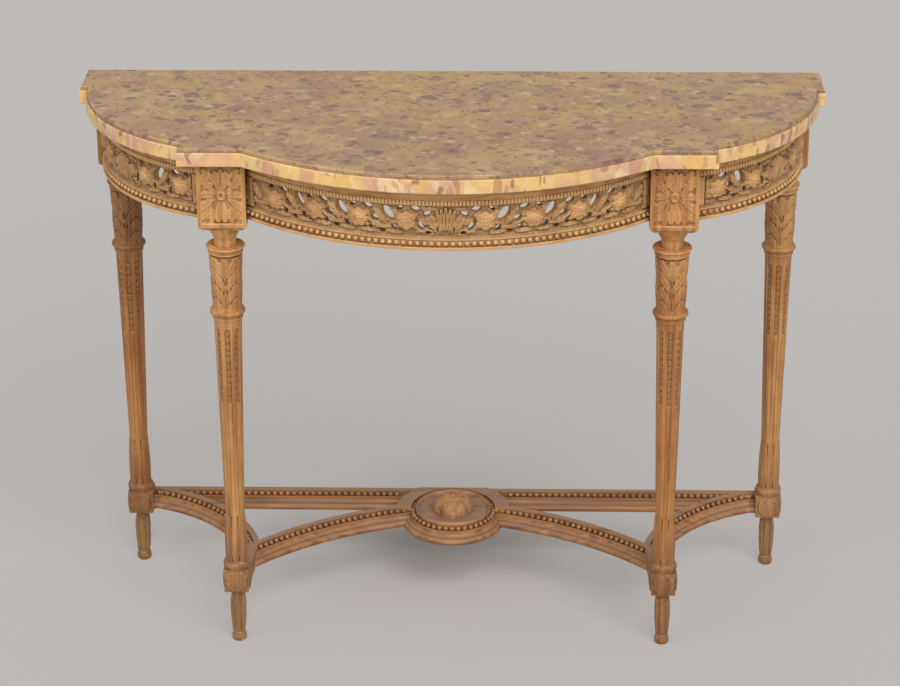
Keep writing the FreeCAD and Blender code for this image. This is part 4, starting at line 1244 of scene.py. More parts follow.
@dataclass(frozen=True)
class Bow:
    """A rail's curved plan: the arc of its outer face.

    Attributes:
        centre: Centre of the arc.
        radius: Radius of the outer face.
        first: Bearing of one end, in degrees.
        last: Bearing of the other end.
    """

    centre: Point
    radius: float
    first: float
    last: float

    @property
    def half(self) -> float:
        """Half the length of the outer face."""
        return self.radius * math.radians(self.last - self.first) / 2

    def points(self, along: Array, inset: Array | float, height: Array | float) -> Array:
        """Place points of the rail.

        Args:
            along: Length along the outer face from the rail's middle.
            inset: Depth behind the outer face.
            height: Height above the floor.

        Returns:
            Points, with x, y and z on the last axis.
        """
        turn = math.radians((self.first + self.last) / 2) + along / self.radius
        reach = self.radius - inset
        x = self.centre[0] + reach * np.cos(turn)
        y = self.centre[1] + reach * np.sin(turn)
        return np.stack(np.broadcast_arrays(x, y, height), axis=-1)

    @staticmethod
    def through(start: Point, end: Point, radius: float) -> "Bow":
        """Make the arc that turns left about a centre on its left.

        Args:
            start: Where it starts.
            end: Where it ends.
            radius: Its radius.

        Returns:
            The arc.
        """
        chord = (end[0] - start[0], end[1] - start[1])
        length = math.hypot(*chord)
        height = math.sqrt(radius ** 2 - (length / 2) ** 2)
        x = (start[0] + end[0]) / 2 - chord[1] / length * height
        y = (start[1] + end[1]) / 2 + chord[0] / length * height
        first = math.degrees(math.atan2(start[1] - y, start[0] - x))
        last = first + (math.degrees(math.atan2(end[1] - y, end[0] - x)) - first) % 360
        return Bow((x, y), radius, first, last)


def curve_rows(start: Point, bend: Point, end: Point, count: int) -> list[list[float]]:
    """Give points of a moulding's curve.

    Args:
        start: Where it starts.
        bend: Point that pulls it.
        end: Where it ends.
        count: How many points it has.

    Returns:
        The points.
    """
    share = np.linspace(0, 1, count)[:, None]
    ends = (1 - share) ** 2 * np.array(start) + share ** 2 * np.array(end)
    return (ends + 2 * share * (1 - share) * np.array(bend)).tolist()


def corners(node: str) -> tuple[Array, Array]:
    """Give a node's lowest and highest corners in millimetres."""
    low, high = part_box(node)
    return np.array(low) / MM, np.array(high) / MM


def middle(node: str) -> Array:
    """Give the middle of a node's box in millimetres."""
    low, high = corners(node)
    return (low + high) / 2


def foot_place(node: str) -> Vector:
    """Give the point of the floor under the middle of a node, in metres."""
    return Vector((*middle(node)[:2], 0.0)) * MM


@dataclass
class Frieze:
    """A curved rail with a pierced field of flowers and leaves between mouldings.

    Attributes:
        node: Node of the frame that it stands for.
        bow: Plan of its outer face.
        overrun: How far it runs on into the dies, in degrees at its start and end.
        mirror: Whether it is the mirror image, on the left.
        finish: Its material.
        pearls: Tree that grows the pearls.
        sprigs: Tree that grows the small leaves.
    """

    node: str
    bow: Bow
    overrun: Point
    mirror: bool
    finish: Material
    pearls: PearlTree
    sprigs: SprigTree

    # Section of the rail, up from its underside and in from its outer face
    height: float = 98.0
    thickness: float = 34.0
    field_low: float = 21.5
    field_high: float = 70.5
    field_sink: float = 8.0
    field_back: float = 18.0
    strip_sink: float = 6.0
    strip_high: float = 79.5

    # Rows of pearls and small leaves
    path_steps: int = 120
    pearl_pitch: float = 10.7
    pearl_radius: float = 4.0
    pearl_rise: float = 10.6
    pearl_inset: float = 3.6
    sprig_pitch: float = 5.6
    sprig_width: float = 5.4
    sprig_height: float = 3.0

    # Carving of the field
    step: float = 1.06
    first_flower: float = 61.0
    flower_pitch: float = 76.0
    flower_radius: float = 16.0
    flower_height: float = 9.6
    end_room: float = 25.0
    rim_drop: float = 2.4
    rim_width: float = 1.2
    edge_fade: float = 1.5
    stile: float = 11.0
    stile_height: float = 5.0
    stile_gap: float = 2.5
    gap_depth: float = 1.5

    # Depth at which the mouldings start to take painted shade, painted shade for each millimetre past it, and
    # share of the flowers' height that is free of painted shade
    shade_start: float = 2.0
    shade_rate: float = 0.16
    unshaded_share: float = 0.8

    # Piercings beside a flower, between two flowers and beside the palmette
    over_flower: tuple[Piercing, ...] = (
        Piercing((-13.5, 18.0), 16.0, 9.0, 8.0),
        Piercing((11.0, 19.0), 10.0, 6.0, -20.0),
    )
    in_gap: tuple[Piercing, ...] = (
        Piercing((-9.0, 9.5), 28.0, 15.0, 50.0),
        Piercing((13.0, 0.5), 13.0, 9.0, 20.0),
        Piercing((-18.0, -12.5), 11.0, 7.0, 60.0),
        Piercing((17.0, -13.0), 10.0, 6.0, -50.0),
        Piercing((1.0, -19.5), 10.0, 5.5, 0.0),
    )
    by_palmette: tuple[Piercing, ...] = (
        Piercing((29.0, 11.0), 14.0, 9.0, -45.0),
        Piercing((39.0, -9.0), 14.0, 8.0, 60.0),
        Piercing((27.0, -19.5), 9.0, 5.0, 0.0),
    )

    # Leaves between two flowers, round a flower and beside the palmette
    gap_leaves: tuple[Leaf, ...] = (
        Leaf((-32, -9), -10, 66, 6, 20, 4.6, lobes=0, fullness=0.4),
        Leaf((-26, -8), 72, 34, 11, -18, 5.2),
        Leaf((-8, -10), 55, 37, 13, -4, 5.8, belly=0.55),
        Leaf((0, -12), 22, 30, 9, 15, 5.8, lobes=3),
        Leaf((-4, -17), 190, 30, 8, -10, 5.4, lobes=3),
        Leaf((8, -19), -4, 30, 9, 14, 5.4, lobes=3),
        Leaf((-8, -8), 166, 22, 8, -20, 5.4, lobes=3),
        Leaf((-19, 12), 112, 14, 8, 30, 5.0, lobes=3),
        Leaf((19, 2), 50, 16, 9, 30, 5.6, lobes=3),
    )
    flower_leaves: tuple[float, ...] = (35, 145, 215, 325)
    flower_leaf: Leaf = Leaf((0, 0), 0, 13, 10, height=5.0, lobes=3)
    flower_leaf_start: float = 9.0
    palmette: Leaf = Leaf((0, -22.0), 90, 45, 7.4, 0, 6.8, 0, 0.4, belly=0.6)
    palmette_leaves: tuple[Leaf, ...] = (
        Leaf((15, -22), 84, 38, 19, -40, 5.8, belly=0.62),
        Leaf((18, -22), 34, 28, 12, -40, 5.0, lobes=3),
        Leaf((18, -5), 12, 28, 10, 10, 5.6, lobes=3),
        Leaf((14, 20), -4, 24, 8, -10, 5.0, lobes=3),
        Leaf((45, -21), 112, 22, 9, 30, 5.2, lobes=3),
    )

    def flower_places(self) -> list[float]:
        """Give the places of the flowers on the right of the rail's middle."""
        room = self.bow.half - self.first_flower - self.end_room
        count = int(room / self.flower_pitch) + 1
        return [self.first_flower + self.flower_pitch * index for index in range(count)]

    def motifs(self) -> list[Motif]:
        """Give everything that is carved on the field.

        Returns:
            The motifs, each laid over those before it.
        """
        half: list[Motif] = list(self.palmette_leaves)
        for index, place in enumerate(self.flower_places()):
            if index:
                half += [leaf.moved(place - self.flower_pitch / 2) for leaf in self.gap_leaves]
            for bearing in self.flower_leaves:
                turn = math.radians(bearing)
                reach = self.flower_leaf_start
                foot = (place + reach * math.cos(turn), reach * math.sin(turn))
                half.append(replace(self.flower_leaf, at=foot, heading=bearing))
            half.append(Bloom((place, 0), self.flower_radius, 6 + index % 2, self.flower_height))
        end = self.flower_places()[-1] + self.flower_pitch / 2
        half += [leaf.moved(end) for leaf in self.gap_leaves]
        return fan(self.palmette, 4.2, 1.0, 6.0, 0.4) + half + [motif.mirrored() for motif in half]

    def piercings(self) -> list[Piercing]:
        """Give every hole through the field.

        Returns:
            The holes on both sides of the rail's middle.
        """
        half = list(self.by_palmette)
        for index, place in enumerate(self.flower_places()):
            half += [hole.moved(place) for hole in self.over_flower]
            if index:
                half += [hole.moved(place - self.flower_pitch / 2) for hole in self.in_gap]
        return half + [hole.mirrored() for hole in half]

    def columns(self) -> Array:
        """Give the lengths along the rail at which its section stands."""
        half = self.bow.half
        fine = np.linspace(-half, half, int(2 * half / self.step))
        over = [math.radians(turn) * self.bow.radius for turn in self.overrun]
        return np.concatenate([[-half - over[0], -half - 1], fine, [half + 1, half + over[1]]])

    @staticmethod
    def hole_depth(holes: Sequence[Piercing], x: Array, y: Array) -> Array:
        """Give the distance inside the nearest hole, below nought outside all of them."""
        return np.maximum.reduce([hole.depth(x, y) for hole in holes])

    def field(self, along: Array) -> tuple[Array, Array, Array, Array]:
        """Carve and pierce the field.

        Args:
            along: Lengths along the rail.

        Returns:
            Length, rise from the field's middle and relief of each point, and which cells are kept.
        """
        half = (self.field_high - self.field_low) / 2
        rise = np.linspace(-half, half, int(2 * half / self.step))
        y, x = np.meshgrid(rise, along, indexing="ij")

        # Points next to a hole are pulled to its rim
        holes = self.piercings()
        inside = self.hole_depth(holes, x, y)
        open_points = inside > 0
        near = np.zeros_like(open_points)
        for down in (-1, 0, 1):
            for across in (-1, 0, 1):
                near |= np.roll(open_points, (down, across), (0, 1))
        near &= ~open_points
        tiny = 0.05
        slope_x = (self.hole_depth(holes, x + tiny, y) - inside) / tiny
        slope_y = (self.hole_depth(holes, x, y + tiny) - inside) / tiny
        shift = np.where(near, np.clip(-inside, 0.0, 1.2 * self.step), 0.0)
        x = x + shift * slope_x
        y = y + shift * slope_y

        # The relief drops towards the rims and ends at plain stiles
        rim = np.clip(-self.hole_depth(holes, x, y), 0.0, None)
        height = relief(self.motifs(), x, y) - self.rim_drop * ridge(rim, self.rim_width)
        ends = np.abs(x) - self.bow.half + self.stile
        height = np.where(ends > -self.stile_gap, -self.gap_depth, height)
        height = np.where(ends > 0, self.stile_height, height)
        height = height * blend(0.0, self.edge_fade, half - np.abs(y))
        closed = ~open_points
        keep = closed[:-1, :-1] & closed[:-1, 1:] & closed[1:, :-1] & closed[1:, 1:]
        return x, y, height, keep

    def rail(self, bottom: float) -> Shell:
        """Build the rail's mesh.

        Args:
            bottom: Height of its underside.

        Returns:
            The mesh.
        """
        low, high, top = self.field_low, self.field_high, self.height
        lower = [(0.6, 0.0), (0.0, 0.6), (0.0, 4.4), (0.6, 5.0), (5.0, 5.0), (5.0, 15.0), (4.0, 15.0)]
        lower += [(3.6, 15.4), (3.6, 17.1)]
        lower += curve_rows((4.0, 17.5), (7.6, 18.5), (self.field_sink, low - 0.1), 6)
        upper = [(self.strip_sink, high), (self.strip_sink, self.strip_high)]
        upper += curve_rows((self.strip_sink - 0.4, self.strip_high), (4.6, 88.0), (0.0, 90.0), 7)
        upper += [(0.0, top - 0.6), (0.6, top)]
        behind = [(self.thickness, top), (self.thickness, high), (self.field_back, high)]
        below = [(self.field_back, low), (self.thickness, low), (self.thickness, 0.0)]
        along = self.columns()
        x, y, height, keep = self.field(along)
        level = bottom + (low + high) / 2 + y
        front = self.turned(self.bow.points(x, self.field_sink - height, level))
        back = self.turned(self.bow.points(x, self.field_back, level))
        shell = Shell()
        # Painted shade on the lower moulding by its depth, and on the field by how low the carving lies
        rows = [self.strip(shell, lower, along, bottom, self.shade_rate)]
        rows.append(shell.add(front, 1 - height / self.flower_height / self.unshaded_share))
        rows.append(self.strip(shell, upper, along, bottom))
        rows.append(self.strip(shell, behind, along, bottom))
        rows.append(shell.add(back)[::-1])
        rows.append(self.strip(shell, below, along, bottom))
        ring = np.concatenate(rows + [rows[0][:1]])
        cells = np.ones((len(ring) - 1, len(along) - 1), bool)
        first = len(rows[0])
        cells[first:first + len(keep)] = keep
        start = sum(len(part) for part in rows[:4])
        cells[start:start + len(keep)] = keep[::-1]
        shell.skin(ring, cells)
        self.walls(shell, rows[1], rows[4][::-1], keep)
        shell.cap(ring[:-1, 0])
        shell.cap(ring[:-1, -1])
        return shell

    def strip(
        self, shell: Shell, section: Sequence[Point], along: Array, bottom: float, depth_shade: float = 0.0
    ) -> Array:
        """Sweep part of the section along the rail.

        Args:
            shell: The mesh.
            section: Depth behind the outer face and height of each row.
            along: Lengths along the rail.
            bottom: Height of the rail's underside.
            depth_shade: Painted shade that each millimetre of depth past the outer fillets adds.

        Returns:
            Point numbers of the rows.
        """
        inset, height = np.array(section).T[:, :, None]
        points = self.bow.points(along[None, :], inset, height + bottom)
        return shell.add(self.turned(points), depth_shade * (inset - self.shade_start) * np.ones_like(along))

    def turned(self, points: Array) -> Array:
        """Give points of this rail, mirrored where it stands on the left."""
        return points * MIRROR if self.mirror else points

    @staticmethod
    def walls(shell: Shell, front: Array, back: Array, keep: Array) -> None:
        """Line every hole from the front of the field to its back.

        Args:
            shell: The mesh.
            front: Point numbers of the field's front.
            back: Point numbers of its back.
            keep: Which cells are solid.
        """
        upright = np.argwhere(keep[:, 1:] != keep[:, :-1])
        row, column = upright[:, 0], upright[:, 1] + 1
        shell.quads((front[row, column], front[row + 1, column], back[row + 1, column], back[row, column]))
        level = np.argwhere(keep[1:] != keep[:-1])
        row, column = level[:, 0] + 1, level[:, 1]
        shell.quads((front[row, column], front[row, column + 1], back[row, column + 1], back[row, column]))

    def path(self, inset: float, height: float) -> Array:
        """Give a line along the rail."""
        along = np.linspace(-self.bow.half, self.bow.half, self.path_steps)
        return self.turned(self.bow.points(along, inset, height))

    def build(self) -> None:
        """Make the rail, its pearls and its row of small leaves."""
        bottom = corners(self.node)[0][2]
        seat(self.rail(bottom).piece(self.node + "_carved", self.finish), self.node)
        path = self.path(self.pearl_inset, bottom + self.pearl_rise)
        self.pearls.build(self.node + "_pearls", [path], self.pearl_pitch, self.pearl_radius, self.finish)
        length = self.strip_high - self.field_high
        leaf = Leaf((0, 0), 90, length, self.sprig_width, height=self.sprig_height, lobes=0, fullness=0.3)
        path = self.path(self.strip_sink, bottom + self.field_high)
        if self.mirror:
            path = path[::-1]
        self.sprigs.build(self.node + "_leaf_strip", path, leaf, Face.FRONT, self.sprig_pitch, self.finish)


def folded(turn: Array, count: int) -> Array:
    """Give where bearings lie between the middles of repeats round a stem, from -0.5 to 0.5."""
    return (turn * count / math.tau + 0.5) % 1.0 - 0.5


@dataclass(frozen=True)
class Wreath:
    """Motifs repeated round a turned stem.

    Attributes:
        repeats: Copies round the stem.
        motifs: What is carved in one copy, about its middle line, upwards from the zone's foot.
        sink: Depth of the ground behind the stem's outline.
        fade: Height over which the carving dies out at the zone's ends.
    """

    repeats: int
    motifs: tuple[Motif, ...]
    sink: float
    fade: float = 3.0

    def carve(self, turn: Array, rise: Array, radius: Array) -> Array:
        """Give the relief.

        Args:
            turn: Bearings round the stem.
            rise: Height above the zone's foot.
            radius: Radius of the stem's outline.

        Returns:
            Heights over the outline.
        """
        pitch = math.tau * float(radius.mean()) / self.repeats
        sides = [motif.moved(side * pitch) for motif in self.motifs for side in (-1, 0, 1)]
        ends = blend(0.0, self.fade, rise) * blend(0.0, self.fade, rise.max() - rise)
        return (relief(sides, folded(turn, self.repeats) * pitch, rise) - self.sink) * ends


@dataclass(frozen=True)
class Flutes:
    """Round-ended flutes down a tapering shaft, filled with reeds in their lower part.

    Attributes:
        count: Flutes round the shaft, the first of them at the front.
        low_radius: Radius of a flute at the shaft's foot.
        high_radius: Radius of a flute at its top.
        end_margin: Height of the lower ends' centres above the foot.
        top_margin: Depth of the upper ends' centres below the top.
        standoff: How far outside the shaft the flutes are centred.
        reed_top: Height above the foot to which reeds fill the flutes.
        reed_share: Radius of a reed, as a share of its flute's.
        reed_fill: How far a reed rises out of its flute.
    """

    count: int = 8
    low_radius: float = 3.9
    high_radius: float = 5.4
    end_margin: float = 9.0
    top_margin: float = 20.0
    standoff: float = 1.6
    reed_top: float = 202.0
    reed_share: float = 0.7
    reed_fill: float = 1.2

    def carve(self, turn: Array, rise: Array, radius: Array) -> Array:
        """Give the depth of the flutes.

        Args:
            turn: Bearings round the shaft.
            rise: Height above the shaft's foot.
            radius: Radius of the shaft's outline.

        Returns:
            Heights over the outline, below nought in a flute.
        """
        x = folded(turn, self.count) * math.tau / self.count * radius
        top = rise.max()
        size = self.low_radius + (self.high_radius - self.low_radius) * rise / top
        past = np.maximum(np.maximum(self.end_margin - rise, rise - top + self.top_margin), 0.0)
        groove = np.sqrt(np.clip(size ** 2 - past ** 2 - x ** 2, 0.0, None))
        over = np.maximum(rise - self.reed_top, 0.0)
        reed = np.sqrt(np.clip((self.reed_share * size) ** 2 - x ** 2 - over ** 2, 0.0, None))
        return -np.clip(groove - self.standoff - self.reed_fill * reed, 0.0, None)


@dataclass(frozen=True)
class Zone:
    """One stretch of a turned stem.

    Attributes:
        low: Height of its foot.
        high: Height of its top.
        rows: Steps up the zone.
        radius: Radius of the outline at shares of the zone's height.
        carving: What is carved on it, if anything.
        full_shade: Depth of carving that counts as wholly in painted shade.
    """

    low: float
    high: float
    rows: int
    radius: Outline
    carving: Wreath | Flutes | None = None
    full_shade: float = 5.0

    def surface(self, columns: int) -> tuple[Array, Array]:
        """Turn and carve the zone.

        Args:
            columns: Points round the stem.

        Returns:
            Points in rows round the stem, and the painted shade of each.
        """
        share = np.linspace(0, 1, self.rows)[:, None]
        turn = np.linspace(0, math.tau, columns, endpoint=False)[None, :]
        radius = self.radius(share) * np.ones_like(turn)
        rise = share * (self.high - self.low) * np.ones_like(turn)
        carved = np.zeros_like(radius)
        if self.carving:
            carved = self.carving.carve(turn * np.ones_like(share), rise, radius)
        out = radius + carved
        bearing = turn + math.radians(Face.FRONT.value)
        points = np.stack([out * np.cos(bearing), out * np.sin(bearing), rise + self.low], axis=-1)
        return points, -carved / self.full_shade


def taper(low: float, high: float) -> Outline:
    """Give a straight outline from one radius to another."""
    return lambda share: low + (high - low) * share


def swell(low: float, crown: float, high: float) -> Outline:
    """Give a curved outline through a radius at its middle."""
    return lambda share: low + (high - low) * share + 4 * share * (1 - share) * (crown - (low + high) / 2)


def torus(root: float, crown: float) -> Outline:
    """Give a half-round outline."""
    return lambda share: root + (crown - root) * dome((2 * share - 1) ** 2)


def waist(root: float, crown: float, bend: float) -> Outline:
    """Give an outline that is straight up to a share of its height and then flares."""
    return lambda share: root + (crown - root) * np.clip((share - bend) / (1 - bend), 0.0, 1.0) ** 1.1


@dataclass
class Leg:
    """A leg in one length: turned, fluted and carved between a square die and a small foot.

    Attributes:
        node: Node of the frame that it stands for.
        panel: Face of the die with a carved panel.
        plain: Face of the lower block that a stretcher covers.
        finish: Its material.
        husk_shade_finish: Material of the husks in its flutes, a darker copy of the leg's wood that paints the
            flutes' shade on them.
        sprigs: Tree that grows the husks.
    """

    node: str
    panel: Face
    plain: Face
    finish: Material
    husk_shade_finish: Material
    sprigs: SprigTree

    # Sizes from the floor up
    foot_top: float = 97.0
    block_half: float = 22.0
    block_bevel: float = 2.4
    block_round: float = 1.4
    block_sink: float = 2.6
    block_border: Point = (0.6, 3.6)
    block_rosette: Bloom = Bloom((0, 0), 19.0, 4, 4.6, 45.0)
    block_top: float = 137.0
    ring_top: float = 150.0
    collar_top: float = 236.0
    shaft_low_radius: float = 15.5
    shaft_high_radius: float = 22.5
    shaft_top: float = 586.0
    upper_ring_top: float = 605.0
    capital_top: float = 710.0
    neck_top: float = 745.0
    die_bottom: float = 752.0
    die_half: float = 38.0
    die_bevel: float = 0.9
    die_chamfer: float = 7.0
    die_round: float = 0.8
    die_top_round: float = 0.6
    panel_border: float = 6.4
    panel_depth: float = 3.0
    panel_relief: float = 5.6
    panel_slope: float = 1.6
    bead_height: float = 0.9
    bead_width: float = 1.4
    bead_place: float = 2.0

    # Fineness of the mesh, depth of carving that is wholly in painted shade, and the husks
    columns: int = 160
    step: float = 1.1
    full_shade: float = 7.0
    flutes: Flutes = Flutes()
    husk: Leaf = Leaf((0, 0), 90, 13.0, 8.2, height=3.2, lobes=0, fullness=0.6, belly=0.55)
    husk_low: float = 440.0
    husk_room: float = 30.0
    husk_sink: float = 3.2
    husk_pitch: float = 11.0

    def shaft(self) -> Outline:
        """Give the shaft's outline."""
        return taper(self.shaft_low_radius, self.shaft_high_radius)

    def foot_zones(self) -> list[Zone]:
        """Give the turned foot.

        Returns:
            Its zones, from the floor up.
        """
        leaves = Wreath(6, (Leaf((0, 4), 90, 68, 12, height=3.0, lobes=3, fullness=0.5),), 1.8)
        return [
            Zone(0.0, 1.2, 2, taper(9.8, 11.2)),
            Zone(1.2, 12.0, 8, swell(11.2, 12.2, 10.8)),
            Zone(12.0, 14.0, 3, taper(10.2, 10.2)),
            Zone(14.0, 91.0, 70, swell(11.0, 12.8, 12.0), leaves),
            Zone(91.0, self.foot_top, 5, swell(12.2, 13.6, 13.0)),
        ]

    @staticmethod
    def acanthus() -> Wreath:
        """Give the capital's carving: fronds on both sides of a midrib, three stalks and a bud.

        Returns:
            The carving.
        """
        fronds = [
            Leaf((1.5, rise), 64, 42, 18, -14, 4.8, 3, 0.5, curl=0.12, veining=0.4, belly=0.6)
            for rise in (-16, 8, 32, 54)
        ]
        bud = Leaf((0, 46), 90, 44, 17, height=4.8, lobes=5, fullness=0.4, veining=0.4, belly=0.7)
        stalks = [Leaf((4.5 * step, -6), 90, 50, 5.5, -5 * step, 5.2, 0, 0.4) for step in (-1, 0, 1)]
        return Wreath(4, (*fronds, *(leaf.mirrored() for leaf in fronds), bud, *stalks), 4.0)

    def stem_zones(self) -> list[Zone]:
        """Give the stem between the block and the die.

        Returns:
            Its zones, from the block up.
        """
        reeds = Wreath(9, (Leaf((0, -3), 90, 94, 13, height=3.0, lobes=0, fullness=0.16, curl=0.0),), 2.6)
        block, ring, shaft = self.block_top, self.ring_top, self.shaft_top
        upper, top = self.upper_ring_top, self.capital_top
        return [
            Zone(block, block + 1.8, 3, taper(20.4, 20.4)),
            Zone(block + 1.8, ring - 1.0, 8, swell(21.2, 22.2, 20.6)),
            Zone(ring - 1.0, ring, 3, taper(18.6, 18.0)),
            Zone(ring, self.collar_top, 84, swell(17.6, 18.0, 16.0), reeds),
            Zone(self.collar_top, shaft, 140, self.shaft(), self.flutes),
            Zone(shaft, shaft + 4.0, 3, taper(24.2, 24.5)),
            Zone(shaft + 4.0, shaft + 7.0, 3, taper(23.9, 24.0)),
            Zone(shaft + 7.0, upper - 3.0, 9, torus(24.2, 28.5)),
            Zone(upper - 3.0, upper, 3, taper(24.2, 23.8)),
            Zone(upper, top - 12.0, 100, taper(23.8, 27.0), self.acanthus()),
            Zone(top - 12.0, top - 10.0, 3, swell(27.2, 28.0, 27.2)),
            Zone(top - 10.0, top - 4.0, 4, taper(27.0, 28.6)),
            Zone(top - 4.0, top, 6, swell(29.4, 31.2, 30.4)),
            Zone(top, top, 2, taper(29.8, 20.0)),
            Zone(top, self.neck_top, 18, waist(17.8, 30.0, 0.36)),
        ]

    def stack(self, shell: Shell, zones: Sequence[Zone]) -> None:
        """Skin zones on top of each other and close both ends."""
        shell.stem(np.concatenate([shell.add(*zone.surface(self.columns)) for zone in zones]))

    def square(
        self,
        shell: Shell,
        heights: Array,
        sizes: Array,
        bevel: float,
        fine: Iterable[Face],
        carve: Callable[[Array, Array], Array],
    ) -> None:
        """Skin a square block whose faces may be carved.

        Args:
            shell: The mesh.
            heights: Heights of its rows.
            sizes: Half the block's width in each row.
            bevel: Width of the rounding of its upright edges.
            fine: Faces with carving.
            carve: Relief of such a face at places across it and at heights.
        """
        parts = []
        for face in Face:
            count = int(2 * sizes.max() / self.step) if face in fine else 4
            across = np.linspace(-1, 1, count)[None, :] * (sizes - bevel)[:, None]
            level = heights[:, None] * np.ones_like(across)
            carved = carve(across, level) if face in fine else np.zeros_like(across)
            points = faced(face, sizes[:, None] + carved, across, level)
            # Painted shade, darker deeper in the carving
            parts.append(shell.add(points, -carved / self.full_shade))
        shell.stem(np.concatenate(parts, axis=1))

    @staticmethod
    def panel_motifs() -> list[Motif]:
        """Give the carving of a die's panel: fans up and down, a knot and scrolled side leaves.

        Returns:
            The motifs, each laid over those before it.
        """
        up = fan(Leaf((0, 6), 90, 38, 10, 0, 5.2, 0, 0.4, belly=0.66), 1.4, 9.0, 8.0, 0.3)
        side = [
            Leaf((8, 6), 30, 40, 20, 42, 4.2, 4, veining=0.4, belly=0.6),
            Leaf((17, 26), 66, 22, 15, -20, 4.0, 3, veining=0.4),
            Leaf((8, -6), -24, 36, 18, -30, 4.4, 4, veining=0.4, belly=0.6),
            Leaf((15, -20), -62, 28, 17, 24, 4.2, 4, veining=0.4),
            Leaf((8, 2), 10, 44, 8, 250, 5.0, 0, 0.35),
            Leaf((9, -1), 2, 24, 17, 0, 4.2, 3, 0.5, veining=0.4, belly=0.6),
            Leaf((12, -38), 16, 20, 15, 20, 3.8, 3, 0.5, veining=0.4),
            Leaf((8, -24), 300, 26, 13, -20, 4.0, 3, 0.5, veining=0.4),
            Leaf((2.6, -9), 278, 36, 13, -8, 5.2, 0, 0.36, belly=0.68),
        ]
        knot = [
            Knot((0, -1), 8.0, 9.4, 5.8),
            Leaf((0, -6), 270, 22, 5, 0, 5.0, 0, 0.5),
            Leaf((0, -8), 90, 14, 7, 0, 4.4, 0, 0.4),
        ]
        return side + [motif.mirrored() for motif in side] + up + knot

    def die(self, shell: Shell, top: float) -> None:
        """Build the square die with its chamfered foot and carved panel.

        Args:
            shell: The leg's mesh.
            top: Height of the die's top.
        """
        low = self.die_bottom
        centre = (low + top) / 2
        half_width = self.die_half - self.panel_border
        half_height = (top - low) / 2 - self.panel_border
        motifs = self.panel_motifs()

        def carve(across: Array, level: Array) -> Array:
            """Sink the panel behind a beaded border and carve it."""
            edge = np.minimum(half_width - np.abs(across), half_height - np.abs(level - centre))
            carved = np.minimum(relief(motifs, across, level - centre), self.panel_relief) - self.panel_depth
            bead = self.bead_height * ridge(edge + self.bead_place, self.bead_width)
            return blend(0.0, self.panel_slope, edge) * carved + bead

        rows = np.linspace(low, top, int((top - low) / self.step))
        heights = np.concatenate([[low - self.die_chamfer, low - self.die_round], rows, [top]])
        sizes = np.full(len(heights), self.die_half)
        sizes[0] -= self.die_chamfer
        sizes[1] -= self.die_round
        sizes[-1] -= self.die_top_round
        self.square(shell, heights, sizes, self.die_bevel, (self.panel,), carve)

    def block(self, shell: Shell) -> None:
        """Build the small square block with a rosette on each open face.

        Args:
            shell: The leg's mesh.
        """
        centre = (self.foot_top + self.block_top) / 2
        half = self.block_half

        def carve(across: Array, level: Array) -> Array:
            """Sink the face inside its edges and carve the rosette."""
            edge = np.minimum(half - np.abs(across), half - np.abs(level - centre))
            carved = self.block_rosette.heights(across, level - centre).clip(0.0, None) - self.block_sink
            return blend(*self.block_border, edge) * carved

        heights = np.linspace(self.foot_top, self.block_top, 40)
        sizes = np.full(len(heights), half)
        sizes[[0, -1]] -= self.block_round
        open_faces = [face for face in Face if face is not self.plain]
        self.square(shell, heights, sizes, self.block_bevel, open_faces, carve)

    def build(self) -> None:
        """Make the leg and the husks in its flutes."""
        place = foot_place(self.node)
        shell = Shell()
        self.stack(shell, self.foot_zones())
        self.block(shell)
        self.stack(shell, self.stem_zones())
        self.die(shell, corners(self.node)[1][2])
        seat(shell.piece(self.node + "_carved", self.finish, place), self.node)
        heights = np.linspace(self.husk_low, self.shaft_top - self.husk_room, 20)
        share = (heights - self.collar_top) / (self.shaft_top - self.collar_top)
        path = faced(Face.RIGHT, self.shaft()(share) - self.husk_sink, np.zeros_like(share), heights)
        name = self.node + "_husks"
        rows = self.flutes.count
        self.sprigs.build(name, path, self.husk, Face.RIGHT, self.husk_pitch, self.husk_shade_finish, rows, place)


